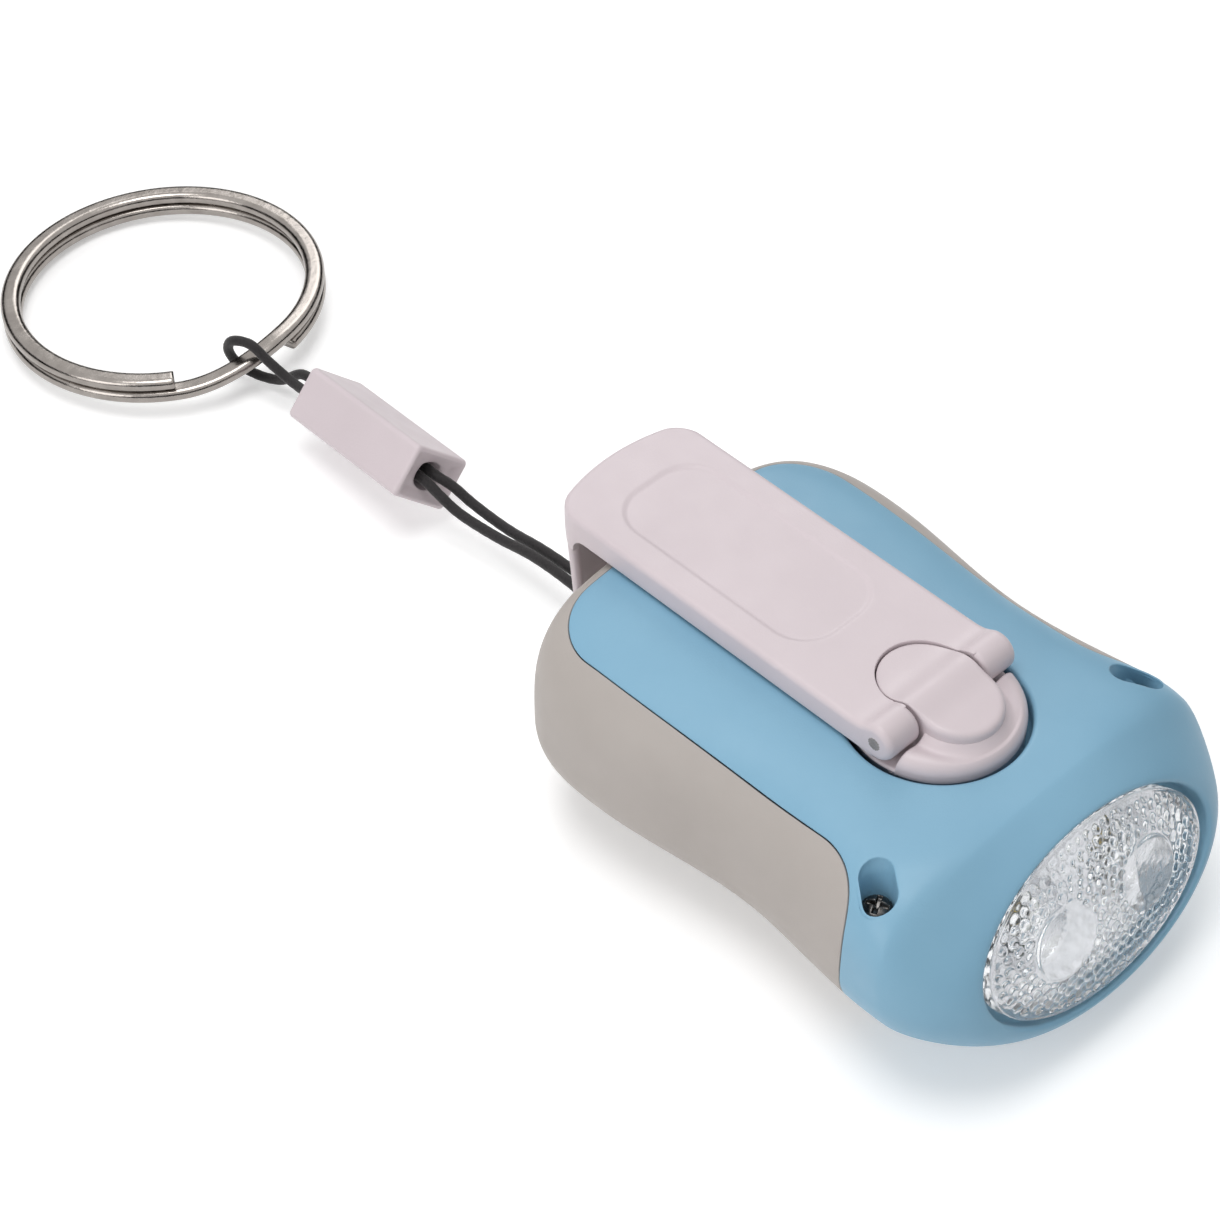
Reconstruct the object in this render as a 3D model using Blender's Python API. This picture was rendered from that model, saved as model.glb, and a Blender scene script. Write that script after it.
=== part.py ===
"""Hand-crank keychain light.

A pocket dynamo light on a key ring. The front of the housing holds two LEDs behind an
oval lens. A crank lever lies folded along the top, and turns a gear train that spins a
magnet inside a coil. All sizes below are in millimetres and are turned into metres when
a mesh is made. The lens faces -Y, the key ring lies at +Y, and Z = 0 is the table.
"""

import math

import bmesh
import bpy
import numpy as np
from mathutils import Matrix
from mathutils import Vector

MM = 0.001

# Running and seating clearances
SEAT_GAP = 0.3
SEAM_GAP = 0.3
SLIDE_GAP = 0.25
BORE_GAP = 0.15
PRESS_GAP = 0.1

# Housing, outer form
BODY_HEIGHT = 20.8
BODY_REAR_Y = 23.2
REAR_BULGE_Y = 12.8
WAIST_Y = -3.5
FRONT_BULGE_Y = -21.6
REAR_HALF_WIDTH = 18.9
WAIST_HALF_WIDTH = 17.2
FRONT_HALF_WIDTH = 19.2
TOP_SQUARENESS = 3.8
BELLY_SQUARENESS = 2.1
WIDEST_SHARE = 0.51
REAR_CORNER = 10.0
REAR_EDGE = 3.4
CORNER_SQUARENESS = 2.6
NOSE_SIDE_LENGTH = 6.2
NOSE_TOP_LENGTH = 4.6
NOSE_BELLY_LENGTH = 17.0
NOSE_SQUARENESS = 1.5
NOSE_TILT_LENGTH = 10.0
BELLY_SINK = 0.4
WALL = 1.4
REAR_WALL = 2.9

# Lens plane and lens
LENS_Y = -25.93
LENS_HEIGHT_SHARE = 0.589423
LENS_Z = LENS_HEIGHT_SHARE * BODY_HEIGHT
LENS_TILT = 22.6
LENS_SIDE_MARGIN = 5.96
LENS_HALF_WIDTH = FRONT_HALF_WIDTH - LENS_SIDE_MARGIN
LENS_HALF_SHARE = 0.358654
LENS_HALF_HEIGHT = LENS_HALF_SHARE * BODY_HEIGHT
LENS_GAP = 0.2
LENS_RIM = 0.35
LENS_THICKNESS = 1.4
LENS_DOME = 1.35
LENS_FLANGE = 1.1
LENS_SUNK = 0.3
POCKET_DEPTH = 2.3

# Seam between the two mouldings
SEAM_INSET = 3.6
SEAM_WAIST_INSET = 2.35
SEAM_REAR_INSET = 1.9
SEAM_HALF_WIDTH = REAR_HALF_WIDTH - SEAM_INSET
SEAM_WAIST_HALF_WIDTH = WAIST_HALF_WIDTH - SEAM_WAIST_INSET
SEAM_REAR_Y = BODY_REAR_Y - SEAM_REAR_INSET
SEAM_CORNER = 5.5
FLARE_RADIUS = 6.4
FLARE_Y = -9.7
FLARE_END_INSET = 0.2
FLARE_END_X = FRONT_HALF_WIDTH - FLARE_END_INSET
SKIRT_BOTTOM_Z = 11.0

# Case screws
SCREW_INSET = 3.7
SCREW_X = FRONT_HALF_WIDTH - SCREW_INSET
SCREW_Y = -16.17
SCREW_HEAD_RADIUS = 1.4
SCREW_HEAD_DROP = 4.9
SCREW_HEAD_Z = BODY_HEIGHT - SCREW_HEAD_DROP
SCREW_HEAD_HEIGHT = 1.2
SCREW_RADIUS = 0.85
SCREW_LENGTH = 5.6
SCREW_WELL_WALL = 0.9
SCREW_SEAT_THICKNESS = 0.7
SCREW_ARM_RADIUS = 1.5
SCREW_ARM_Z = 9.6
SCREW_ARM_REACH = 5.2

# Finger notch behind the crank lip
NOTCH_HALF_WIDTH = 8.3
NOTCH_FLARE_RADIUS = 4.0
NOTCH_TOP_HALF_WIDTH = NOTCH_HALF_WIDTH + NOTCH_FLARE_RADIUS
NOTCH_BOTTOM_Z = 10.5
NOTCH_FLARE_DROP = 4.8
NOTCH_FLARE_Z = BODY_HEIGHT - NOTCH_FLARE_DROP
NOTCH_DEPTH = 1.0

# Crank hub
HUB_Y = -8.06
HUB_RADIUS = 7.2
HUB_RECESS_GAP = 0.55
HUB_RECESS_DEPTH = 2.6
HUB_FLOOR_Z = BODY_HEIGHT - HUB_RECESS_DEPTH
HUB_CUP_WALL = 1.45
HUB_RIM_RISE = 1.2
HUB_RIM_TOP_Z = BODY_HEIGHT + HUB_RIM_RISE
HUB_RIM_ROUND = 1.2
HUB_RIM_SETBACK = 2.2
LOBE_RADIUS = 4.1
LOBE_OFFSET = 2.1
REAR_LOBE_RISE = 2.1
FRONT_LOBE_RISE = 2.7
HINGE_RISE = 1.77
REAR_LOBE_TOP_Z = BODY_HEIGHT + REAR_LOBE_RISE
FRONT_LOBE_TOP_Z = BODY_HEIGHT + FRONT_LOBE_RISE
HINGE_Z = BODY_HEIGHT + HINGE_RISE
BARREL_RADIUS = 1.5
KNUCKLE_RADIUS = 1.72
KNUCKLE_INNER_X = 4.3
PIN_RADIUS = 0.5
SHAFT_RADIUS = 2.0
SHAFT_FLAT_RADIUS = 1.6
SHAFT_FLAT_X = 1.1

# Crank lever
LEVER_HALF_WIDTH = 7.5
LEVER_OVERHANG = 5.8
LEVER_REAR_Y = BODY_REAR_Y + LEVER_OVERHANG
LEVER_BOW = 1.6
LEVER_CORNER = 2.2
LEVER_THICKNESS = 2.35
LEVER_BOTTOM_Z = BODY_HEIGHT + SEAT_GAP
LEVER_TOP_Z = LEVER_BOTTOM_Z + LEVER_THICKNESS
LEVER_ROUND = 0.55
LIP_TOP_THICKNESS = 1.8
LIP_BOTTOM_THICKNESS = 1.45
LIP_LENGTH = 9.6
LIP_BOTTOM_Z = LEVER_BOTTOM_Z - LIP_LENGTH
LIP_LEAN = 1.1
PAD_HALF_WIDTH = 4.9
PAD_REAR_MARGIN = 4.8
PAD_REAR_Y = LEVER_REAR_Y - PAD_REAR_MARGIN
PAD_FRONT_Y = 1.7
PAD_CORNER = 3.5
PAD_DEPTH = 0.15

# Gear train: tooth counts, module and heights
MODULE = 0.5
ADDENDUM = 0.5
DEDENDUM = 0.62
TOOTH_THINNING = 0.14
PRESSURE_ANGLE = 20.0
DRIVE_TEETH = 44
WHEEL_TEETH = 36
PINION_TEETH = 10
DRIVE_DROP = 3.4
DRIVE_Z = HUB_FLOOR_Z - DRIVE_DROP
DRIVE_THICKNESS = 1.6
STAGE_GAP = 0.4
WHEEL_THICKNESS = 1.4
GEAR_1_SIDE = -3.5
GEAR_2_X = 5.5
AXLE_RADIUS = 0.6

# Gear plate
PLATE_DROP = 5.2
PLATE_Z = DRIVE_Z - PLATE_DROP
PLATE_THICKNESS = 0.7
PLATE_HALF_WIDTH = 13.2
PLATE_REAR_Y = 9.5
PLATE_CORNER = 2.4
PLATE_BOSS_RADIUS = 1.5
PLATE_POST_X = 11.6
PLATE_POST_FRONT_Y = -13.4
PLATE_POST_REAR_Y = 6.4
PLATE_POST_RADIUS = 1.1
PLATE_PIN_RADIUS = 0.7

# Generator
MAGNET_RADIUS = 5.5
MAGNET_Z = 3.2
MAGNET_HEADROOM = 0.8
MAGNET_HEIGHT = PLATE_Z - MAGNET_Z - MAGNET_HEADROOM
MAGNET_NECK_RADIUS = 1.2
ROTOR_AXLE_RADIUS = 0.5
POLE_GAP = 0.4
POLE_THICKNESS = 2.1
POLE_REACH = 50.0
YOKE_Z = 5.0
YOKE_THICKNESS = 2.0
YOKE_BAR_Y = -1.8
YOKE_BAR_WIDTH = 2.0
YOKE_ARM_WIDTH = 1.8
YOKE_POST_RADIUS = 0.8
YOKE_POST_Y = -6.0
COIL_HALF_LENGTH = 5.5
COIL_HALF_DEPTH = 3.2
BOBBIN_WALL = 0.5
BOBBIN_FLANGE = 0.6

# Cell, circuit board and switch
CELL_RADIUS = 8.0
CELL_THICKNESS = 3.2
CELL_Y = 12.0
CELL_Z = 6.05
CONTACT_THICKNESS = 0.25
CONTACT_WIDTH = 3.6
BOARD_Z = 4.6
BOARD_THICKNESS = 0.8
BOARD_HALF_WIDTH = 9.2
BOARD_FRONT_Y = 4.6
BOARD_REAR_Y = 16.6
BOARD_POST_RADIUS = 1.0
BOARD_POST_INSET = 2.0
BUTTON_Y = 11.0
BUTTON_RADIUS = 3.1
BUTTON_BOTTOM_Z = 0.35
BUTTON_FLANGE_RADIUS = 3.9
BUTTON_FLANGE_Z = 1.5
BUTTON_FLANGE_THICKNESS = 0.4
BUTTON_TRAVEL = 0.5
SWITCH_WIDTH = 6.0
SWITCH_BOTTOM_Z = 2.75
PLUNGER_RADIUS = 1.5
PLUNGER_LENGTH = 1.25

# Lamp
LED_X = 5.15
LED_DROP = 0.26
LED_Z = LENS_Z - LED_DROP
LED_RADIUS = 2.4
LED_FLANGE_RADIUS = 2.7
LED_FLANGE_THICKNESS = 0.8
LED_LENGTH = 5.0
LED_BOARD_Y = -18.9
LED_BOARD_THICKNESS = 0.8
LED_BOARD_HALF_WIDTH = 9.0
LED_BOARD_BOTTOM_Z = 7.4
LED_BOARD_TOP_Z = 14.3
REFLECTOR_DEPTH = 2.6
REFLECTOR_THICKNESS = 1.0
REFLECTOR_HALF_WIDTH = 11.6
REFLECTOR_HALF_HEIGHT = 6.0
CUP_RADIUS = 3.6
CUP_MOUTH_RADIUS = 3.4
CUP_THROAT_RADIUS = 2.75
CUP_LENGTH = 2.6

# Inner leads
LEAD_RADIUS = 0.4
LED_LEAD_X = 9.55

# Cord, bead and key ring
CORD_RADIUS = 0.5
CORD_SPREAD = 0.75
CORD_EXIT_Z = 4.0
CORD_HOLE_GAP = 0.25
KNOT_RADIUS = 1.5
BEAD_WIDTH = 7.0
BEAD_HEIGHT = 5.25
BEAD_LENGTH = 16.8
BEAD_CENTRE = (-0.42, 59.44, 5.16)
BEAD_YAW = -4.4
BEAD_PITCH = -5.9
BEAD_ROLL = 43.4
BEAD_BORE_RADIUS = 1.4
BEAD_ROUND = 0.35
RING_X = 0.2
RING_NEAR_Y = 77.2
RING_RADIUS = 15.0
RING_BAND = 2.03
RING_COIL_HEIGHT = 1.56
RING_COIL_GAP = 0.2
RING_TILT = 3.5
RING_REST_Z = 0.1
RING_CROSSOVER = -100.0
RING_CROSSOVER_SPAN = 46.0
RING_EDGE = 0.35

# Facets
SECTION_POINTS = int(36)
CAVITY_POINTS = int(28)
ROUND_POINTS = int(32)
SMALL_ROUND_POINTS = int(16)
TINY_ROUND_POINTS = int(10)
FINE_TEETH = 20
FAR = 60.0
EPS = 0.05


def smooth_step(t):
    t = np.clip(t, 0.0, 1.0)
    return t * t * (3.0 - 2.0 * t)


def round_over(distance, length, power):
    """0 at the end of a form, 1 where its rounding of this length is over."""
    t = np.clip(1.0 - distance / length, 0.0, 1.0)
    return (1.0 - t**power) ** (1.0 / power)


def material(name, colour, roughness, metallic=0.0, transmission=0.0):
    made = bpy.data.materials.new(name)
    made.use_nodes = True
    shader = made.node_tree.nodes["Principled BSDF"]
    shader.inputs["Base Color"].default_value = (*colour, 1.0)
    shader.inputs["Roughness"].default_value = roughness
    shader.inputs["Metallic"].default_value = metallic
    shader.inputs["Transmission Weight"].default_value = transmission
    made.diffuse_color = (*colour, 1.0)
    return made


def add_object(name, shape, look=None, at=(0.0, 0.0, 0.0), turn=None, parent=None):
    """One closed mesh in millimetres, given as (vertices, faces), placed as an object."""
    vertices, faces = shape
    mesh = bpy.data.meshes.new(name)
    mesh.from_pydata([Vector(v) * MM for v in vertices], [], [list(f) for f in faces])
    work = bmesh.new()
    work.from_mesh(mesh)
    bmesh.ops.remove_doubles(work, verts=work.verts, dist=1e-7)
    bmesh.ops.recalc_face_normals(work, faces=work.faces)
    work.to_mesh(mesh)
    work.free()
    mesh.shade_smooth()
    mesh.set_sharp_from_angle(angle=math.radians(32.0))
    made = bpy.data.objects.new(name, mesh)
    made.location = Vector(at) * MM
    if turn is not None:
        made.rotation_euler = turn
    if parent is not None:
        made.parent = parent
    if look is not None:
        mesh.materials.append(look)
    bpy.context.scene.collection.objects.link(made)
    return made


def add_tool(name, shape, at=(0.0, 0.0, 0.0), turn=None):
    """A closed mesh that only cuts or joins another, and is not a piece itself."""
    tool = add_object(name, shape, at=at, turn=turn)
    tool.hide_render = True
    tool.display_type = "WIRE"
    return tool


def combine(target, tool, operation):
    step = target.modifiers.new(tool.name, "BOOLEAN")
    step.object = tool
    step.operation = operation
    step.solver = "EXACT"


def cut(target, name, shape, at=(0.0, 0.0, 0.0), turn=None):
    combine(target, add_tool(name, shape, at, turn), "DIFFERENCE")


def join(target, name, shape, at=(0.0, 0.0, 0.0), turn=None):
    combine(target, add_tool(name, shape, at, turn), "UNION")


def loft(rings):
    """Skin through rings with the same number of points, closed at both ends."""
    count = len(rings[0])
    vertices = [tuple(p) for ring in rings for p in ring]
    faces = []
    for i in range(len(rings) - 1):
        for j in range(count):
            k = (j + 1) % count
            low = i * count
            high = low + count
            faces.append((low + j, low + k, high + k, high + j))
    faces.append(tuple(range(count))[::-1])
    faces.append(tuple(range((len(rings) - 1) * count, len(rings) * count)))
    return vertices, faces


def prism(outline, low, high):
    return loft([[(x, y, z) for x, y in outline] for z in (low, high)])


def box(x, y, z):
    """A box given by its three ranges."""
    outline = [(x[0], y[0]), (x[1], y[0]), (x[1], y[1]), (x[0], y[1])]
    return prism(outline, z[0], z[1])


def turned(profile, points=ROUND_POINTS):
    """A solid of revolution about Z from a closed (radius, height) profile."""
    vertices = []
    index = []
    for radius, height in profile:
        if radius == 0.0:
            index.append([len(vertices)] * points)
            vertices.append((0.0, 0.0, height))
            continue
        index.append(list(range(len(vertices), len(vertices) + points)))
        for k in range(points):
            a = 2.0 * math.pi * k / points
            vertices.append((radius * math.cos(a), radius * math.sin(a), height))
    faces = []
    for i in range(len(profile)):
        one = index[i]
        two = index[(i + 1) % len(profile)]
        for k in range(points):
            n = (k + 1) % points
            corners = []
            for c in (one[k], one[n], two[n], two[k]):
                if c not in corners:
                    corners.append(c)
            if len(corners) > 2:
                faces.append(tuple(corners))
    return vertices, faces


def rod(radius, low, high, points=SMALL_ROUND_POINTS):
    return turned([(0.0, low), (radius, low), (radius, high), (0.0, high)], points)


def tube(inner, outer, low, high, points=SMALL_ROUND_POINTS):
    return turned([(inner, low), (outer, low), (outer, high), (inner, high)], points)


def arc(centre, radius, start, end, points):
    """Points on an arc, with its angles in degrees."""
    angles = np.radians(np.linspace(start, end, points))
    return [(centre[0] + radius * math.cos(a), centre[1] + radius * math.sin(a)) for a in angles]


def rounded_box_outline(x, y, radius, points=5):
    outline = []
    outline += arc((x[1] - radius, y[0] + radius), radius, -90, 0, points)
    outline += arc((x[1] - radius, y[1] - radius), radius, 0, 90, points)
    outline += arc((x[0] + radius, y[1] - radius), radius, 90, 180, points)
    outline += arc((x[0] + radius, y[0] + radius), radius, 180, 270, points)
    return outline


def moved(shape, matrix):
    vertices, faces = shape
    return [tuple(matrix @ Vector(v)) for v in vertices], faces


def along_y(shape):
    """Lays a solid made along +Z so that it points along -Y."""
    return moved(shape, Matrix.Rotation(math.pi / 2.0, 4, "X"))


def along_x(shape):
    return moved(shape, Matrix.Rotation(math.pi / 2.0, 4, "Y"))


def smooth_path(points, step):
    """Evenly spaced points on a smooth curve through the given ones."""
    knots = [Vector(p) for p in points]
    knots = [2.0 * knots[0] - knots[1]] + knots + [2.0 * knots[-1] - knots[-2]]
    fine = []
    for i in range(1, len(knots) - 2):
        a, b, c, d = knots[i - 1 : i + 3]
        times = [0.0]
        for p, q in ((a, b), (b, c), (c, d)):
            times.append(times[-1] + max((q - p).length, 1e-6) ** 0.5)
        for s in np.linspace(times[1], times[2], 24, endpoint=False):
            p = (a * (times[1] - s) + b * (s - times[0])) / (times[1] - times[0])
            q = (b * (times[2] - s) + c * (s - times[1])) / (times[2] - times[1])
            r = (c * (times[3] - s) + d * (s - times[2])) / (times[3] - times[2])
            u = (p * (times[2] - s) + q * (s - times[0])) / (times[2] - times[0])
            v = (q * (times[3] - s) + r * (s - times[1])) / (times[3] - times[1])
            fine.append((u * (times[2] - s) + v * (s - times[1])) / (times[2] - times[1]))
    fine.append(knots[-2])
    length = [0.0]
    for p, q in zip(fine, fine[1:]):
        length.append(length[-1] + (q - p).length)
    count = max(2, round(length[-1] / step))
    wanted = np.linspace(0.0, length[-1], count + 1)
    xyz = np.array([list(p) for p in fine])
    return np.stack([np.interp(wanted, length, xyz[:, k]) for k in range(3)], axis=1)


def add_tube(name, points, radius, look, step):
    """A round cord or lead: a curve with a bevel and filled caps."""
    path = smooth_path(points, step)
    curve = bpy.data.curves.new(name, "CURVE")
    curve.dimensions = "3D"
    curve.bevel_depth = radius * MM
    curve.bevel_resolution = 2
    curve.use_fill_caps = True
    spline = curve.splines.new("POLY")
    spline.points.add(len(path) - 1)
    for point, place in zip(spline.points, path):
        point.co = (*(place * MM), 1.0)
    made = bpy.data.objects.new(name, curve)
    curve.materials.append(look)
    bpy.context.scene.collection.objects.link(made)
    return made


# The housing is a loft of superellipse sections that ends on the tilted lens plane.


def half_width(y):
    """Width of the waisted body at a distance along it."""
    to_rear = smooth_step((y - WAIST_Y) / (REAR_BULGE_Y - WAIST_Y))
    to_front = smooth_step((WAIST_Y - y) / (WAIST_Y - FRONT_BULGE_Y))
    rear = WAIST_HALF_WIDTH + (REAR_HALF_WIDTH - WAIST_HALF_WIDTH) * to_rear
    front = WAIST_HALF_WIDTH + (FRONT_HALF_WIDTH - WAIST_HALF_WIDTH) * to_front
    return rear if y > WAIST_Y else front


def body_section(y, inset, rear_y, count):
    """One section of the housing, or of its cavity where inset is the wall."""
    to_rear = rear_y - y
    to_lens = y - LENS_Y
    rim_width = LENS_HALF_WIDTH + LENS_GAP + LENS_RIM
    rim_height = (LENS_HALF_HEIGHT + LENS_GAP + LENS_RIM) * math.cos(math.radians(LENS_TILT))
    rear_side = REAR_CORNER * (1.0 - round_over(to_rear, REAR_CORNER, CORNER_SQUARENESS))
    rear_edge = REAR_EDGE * (1.0 - round_over(to_rear, REAR_EDGE, CORNER_SQUARENESS))
    nose_side = 1.0 - round_over(to_lens, NOSE_SIDE_LENGTH, NOSE_SQUARENESS)
    nose_top = 1.0 - round_over(to_lens, NOSE_TOP_LENGTH, NOSE_SQUARENESS)
    nose_belly = 1.0 - round_over(to_lens, NOSE_BELLY_LENGTH, NOSE_SQUARENESS)
    a = half_width(y) - rear_side - (half_width(y) - rim_width) * nose_side - inset
    top = BODY_HEIGHT - rear_edge
    top -= (BODY_HEIGHT - LENS_Z - rim_height) * nose_top + inset
    low = 0.8 * rear_edge - BELLY_SINK
    low += (LENS_Z - rim_height + BELLY_SINK) * nose_belly + inset
    nose = float(smooth_step(1.0 - to_lens / NOSE_TILT_LENGTH))
    middle = low + (top - low) * (WIDEST_SHARE + (0.5 - WIDEST_SHARE) * nose)
    ring = []
    for k in range(count):
        v = 2.0 * math.pi * (k + 0.5) / count
        c = math.cos(v)
        s = math.sin(v)
        n = TOP_SQUARENESS if s > 0 else BELLY_SQUARENESS
        n += (2.0 - n) * nose
        height = top - middle if s > 0 else middle - low
        x = a * math.copysign(abs(c) ** (2.0 / n), c)
        z = middle + height * math.copysign(abs(s) ** (2.0 / n), s)
        lean = (z - LENS_Z) * math.tan(math.radians(LENS_TILT)) * nose
        ring.append((x, y + lean, z))
    return ring


def stations(front, rear, front_steps, middle_steps, rear_steps):
    """Distances along the body, closer together where it rounds over."""
    nose_end = LENS_Y + NOSE_TILT_LENGTH
    corner_start = rear - REAR_CORNER
    ease = np.linspace(0.0, 1.0, front_steps, endpoint=False) ** 2
    first = front + (nose_end - front) * ease
    second = np.linspace(nose_end, corner_start, middle_steps, endpoint=False)
    last = rear - REAR_CORNER * np.linspace(1.0, 0.0, rear_steps) ** 2
    return [float(y) for y in (*first, *second, *last)]


def body_loft():
    where = stations(LENS_Y, BODY_REAR_Y, 6, 7, 6)
    return loft([body_section(y, 0.0, BODY_REAR_Y, SECTION_POINTS) for y in where])


def cavity_loft(inset=WALL):
    rear = BODY_REAR_Y - REAR_WALL
    where = stations(LENS_Y + POCKET_DEPTH - 0.7, rear, 3, 4, 4)
    return loft([body_section(y, inset, rear, CAVITY_POINTS) for y in where])


def lens_frame():
    """From lens coordinates (across, up the lens, outwards) to the model's."""
    tilt = math.radians(LENS_TILT)
    place = Matrix.Translation((0.0, LENS_Y, LENS_Z))
    return place @ Matrix.Rotation(math.pi / 2.0 - tilt, 4, "X")


def ellipse(half_x, half_y, points=ROUND_POINTS):
    angles = [2.0 * math.pi * k / points for k in range(points)]
    return [(half_x * math.cos(a), half_y * math.sin(a)) for a in angles]


def flare_end_y():
    reach = flare_centre_x() - FLARE_END_X
    return FLARE_Y - math.sqrt(FLARE_RADIUS**2 - reach**2)


def flare_centre_x():
    return SEAM_WAIST_HALF_WIDTH + FLARE_RADIUS


def seam_half_width(y):
    rise = smooth_step((y - WAIST_Y) / (REAR_BULGE_Y - WAIST_Y))
    return SEAM_WAIST_HALF_WIDTH + (SEAM_HALF_WIDTH - SEAM_WAIST_HALF_WIDTH) * float(rise)


def seam_path(grow):
    """The right half of the seam seen from above, from the side flare to the rear."""
    radius = FLARE_RADIUS - grow
    centre = (flare_centre_x(), FLARE_Y)
    lowest = math.degrees(math.asin((flare_end_y() - FLARE_Y) / FLARE_RADIUS))
    path = arc(centre, radius, 180.0 - lowest, 180.0, 9)
    path = [(x, max(y, flare_end_y() + grow)) for x, y in path]
    for y in np.linspace(FLARE_Y, SEAM_REAR_Y - SEAM_CORNER, 10)[1:-1]:
        path.append((seam_half_width(y) + grow, float(y)))
    corner = (SEAM_HALF_WIDTH - SEAM_CORNER, SEAM_REAR_Y - SEAM_CORNER)
    path += arc(corner, SEAM_CORNER + grow, 0.0, 90.0, 8)
    return path


def cover_plan(grow):
    """Plan of the top cover: everything inside the seam and in front of the split."""
    right = seam_path(grow)
    split = flare_end_y() + grow
    front = [(-FAR, split), (-FAR, -FAR), (FAR, -FAR), (FAR, split)]
    return front + right + [(-x, y) for x, y in right[::-1]]


def around_cover_plan():
    """Plan of everything outside the seam and behind the split."""
    right = seam_path(0.0)
    split = flare_end_y()
    rear = [(-FAR, split), (-FAR, FAR), (FAR, FAR), (FAR, split)]
    return rear + right + [(-x, y) for x, y in right[::-1]]


def gear_outline(teeth, start):
    """Involute spur gear, with one tooth centred on the start angle in radians."""
    pitch = teeth * MODULE / 2.0
    base = pitch * math.cos(math.radians(PRESSURE_ANGLE))
    tip = pitch + ADDENDUM
    root = pitch - DEDENDUM

    def involute(radius):
        a = math.acos(min(1.0, base / radius))
        return math.tan(a) - a

    half = (math.pi * MODULE / 2.0 - TOOTH_THINNING) / 2.0 / pitch
    flank = [root, tip]
    if teeth < FINE_TEETH:
        flank = [root] + [float(r) for r in np.linspace(max(base, root + 0.02), tip, 3)]
    angles = [half + involute(pitch) - involute(max(r, base)) for r in flank]
    outline = []
    for k in range(teeth):
        centre = start + 2.0 * math.pi * k / teeth
        for r, a in zip(flank, angles):
            outline.append((r * math.cos(centre - a), r * math.sin(centre - a)))
        for r, a in zip(flank[::-1], angles[::-1]):
            outline.append((r * math.cos(centre + a), r * math.sin(centre + a)))
    return outline


def meshing_angle(one, one_teeth, one_start, two, two_teeth):
    """Start angle of a gear whose gap faces the tooth of the gear that drives it."""
    line = math.atan2(two[1] - one[1], two[0] - one[0])
    turn = (line - one_start) * one_teeth / two_teeth
    return line + math.pi + turn + math.pi / two_teeth


def mesh_distance(one_teeth, two_teeth):
    return (one_teeth + two_teeth) * MODULE / 2.0


# Start with an empty scene.
for old in list(bpy.data.objects):
    bpy.data.objects.remove(old, do_unlink=True)

BLUE = material("blue_abs", (0.26, 0.48, 0.62), 0.42)
GREY = material("grey_abs", (0.43, 0.40, 0.38), 0.5)
PINK = material("pink_abs", (0.69, 0.61, 0.63), 0.4)
CLEAR = material("clear_lens", (0.95, 0.97, 1.0), 0.05, 0.0, 0.9)
LED_CLEAR = material("led_epoxy", (0.95, 0.95, 0.9), 0.1, 0.0, 0.8)
SILVER = material("silvered_plastic", (0.8, 0.8, 0.82), 0.15, 1.0)
STEEL = material("bright_steel", (0.62, 0.61, 0.59), 0.25, 1.0)
DARK_STEEL = material("black_screw_steel", (0.06, 0.06, 0.065), 0.3, 1.0)
NYLON = material("white_gear_nylon", (0.8, 0.79, 0.74), 0.45)
MAGNET = material("magnet", (0.12, 0.12, 0.13), 0.4, 0.6)
IRON = material("yoke_iron", (0.45, 0.45, 0.46), 0.4, 1.0)
COPPER = material("copper_winding", (0.72, 0.3, 0.12), 0.3, 1.0)
BOARD = material("circuit_board", (0.03, 0.2, 0.08), 0.5)
BLACK = material("black_plastic", (0.02, 0.02, 0.02), 0.5)
CORD = material("black_cord", (0.02, 0.018, 0.018), 0.8)
RED = material("red_lead", (0.5, 0.02, 0.02), 0.5)

LENS_FRAME = lens_frame()
POCKET = ellipse(LENS_HALF_WIDTH + LENS_GAP, LENS_HALF_HEIGHT + LENS_GAP)

# Places of the two gear axles and of the rotor, from the tooth counts.
WHEEL_DISTANCE = mesh_distance(WHEEL_TEETH, PINION_TEETH)
DRIVE_DISTANCE = mesh_distance(DRIVE_TEETH, PINION_TEETH)
GEAR_1 = (GEAR_1_SIDE, HUB_Y + math.sqrt(DRIVE_DISTANCE**2 - GEAR_1_SIDE**2))
GEAR_2_DROP = math.sqrt(WHEEL_DISTANCE**2 - (GEAR_2_X - GEAR_1[0]) ** 2)
GEAR_2 = (GEAR_2_X, GEAR_1[1] - GEAR_2_DROP)
ROTOR = (0.0, GEAR_2[1] - math.sqrt(WHEEL_DISTANCE**2 - GEAR_2_X**2))
DRIVE_TOP_Z = DRIVE_Z + DRIVE_THICKNESS
WHEEL_1_TOP_Z = DRIVE_Z - 0.6
WHEEL_1_Z = WHEEL_1_TOP_Z - WHEEL_THICKNESS
WHEEL_2_TOP_Z = WHEEL_1_Z - 0.6
WHEEL_2_Z = WHEEL_2_TOP_Z - WHEEL_THICKNESS
PLATE_TOP_Z = PLATE_Z + PLATE_THICKNESS

# Top cover: roof and nose in one moulding. Its cavity leaves the hub cup, the two screw
# wells and the axle boss standing.
ROOF_Z = BODY_HEIGHT - WALL
CUP_BOTTOM_Z = HUB_FLOOR_Z - WALL
HUB_RECESS_RADIUS = HUB_RADIUS + HUB_RECESS_GAP
WELL_RADIUS = SCREW_HEAD_RADIUS + SEAT_GAP
WELL_SEAT_Z = SCREW_HEAD_Z - PRESS_GAP
WELL_BOTTOM_Z = WELL_SEAT_Z - SCREW_SEAT_THICKNESS
AXLE_1_TOP_Z = ROOF_Z - 1.0
BOSS_RADIUS = AXLE_RADIUS + PRESS_GAP + 0.8
cover_cavity = add_tool("cover_cavity", cavity_loft())
cup = rod(HUB_RECESS_RADIUS + HUB_CUP_WALL, CUP_BOTTOM_Z, BODY_HEIGHT, ROUND_POINTS)
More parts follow.
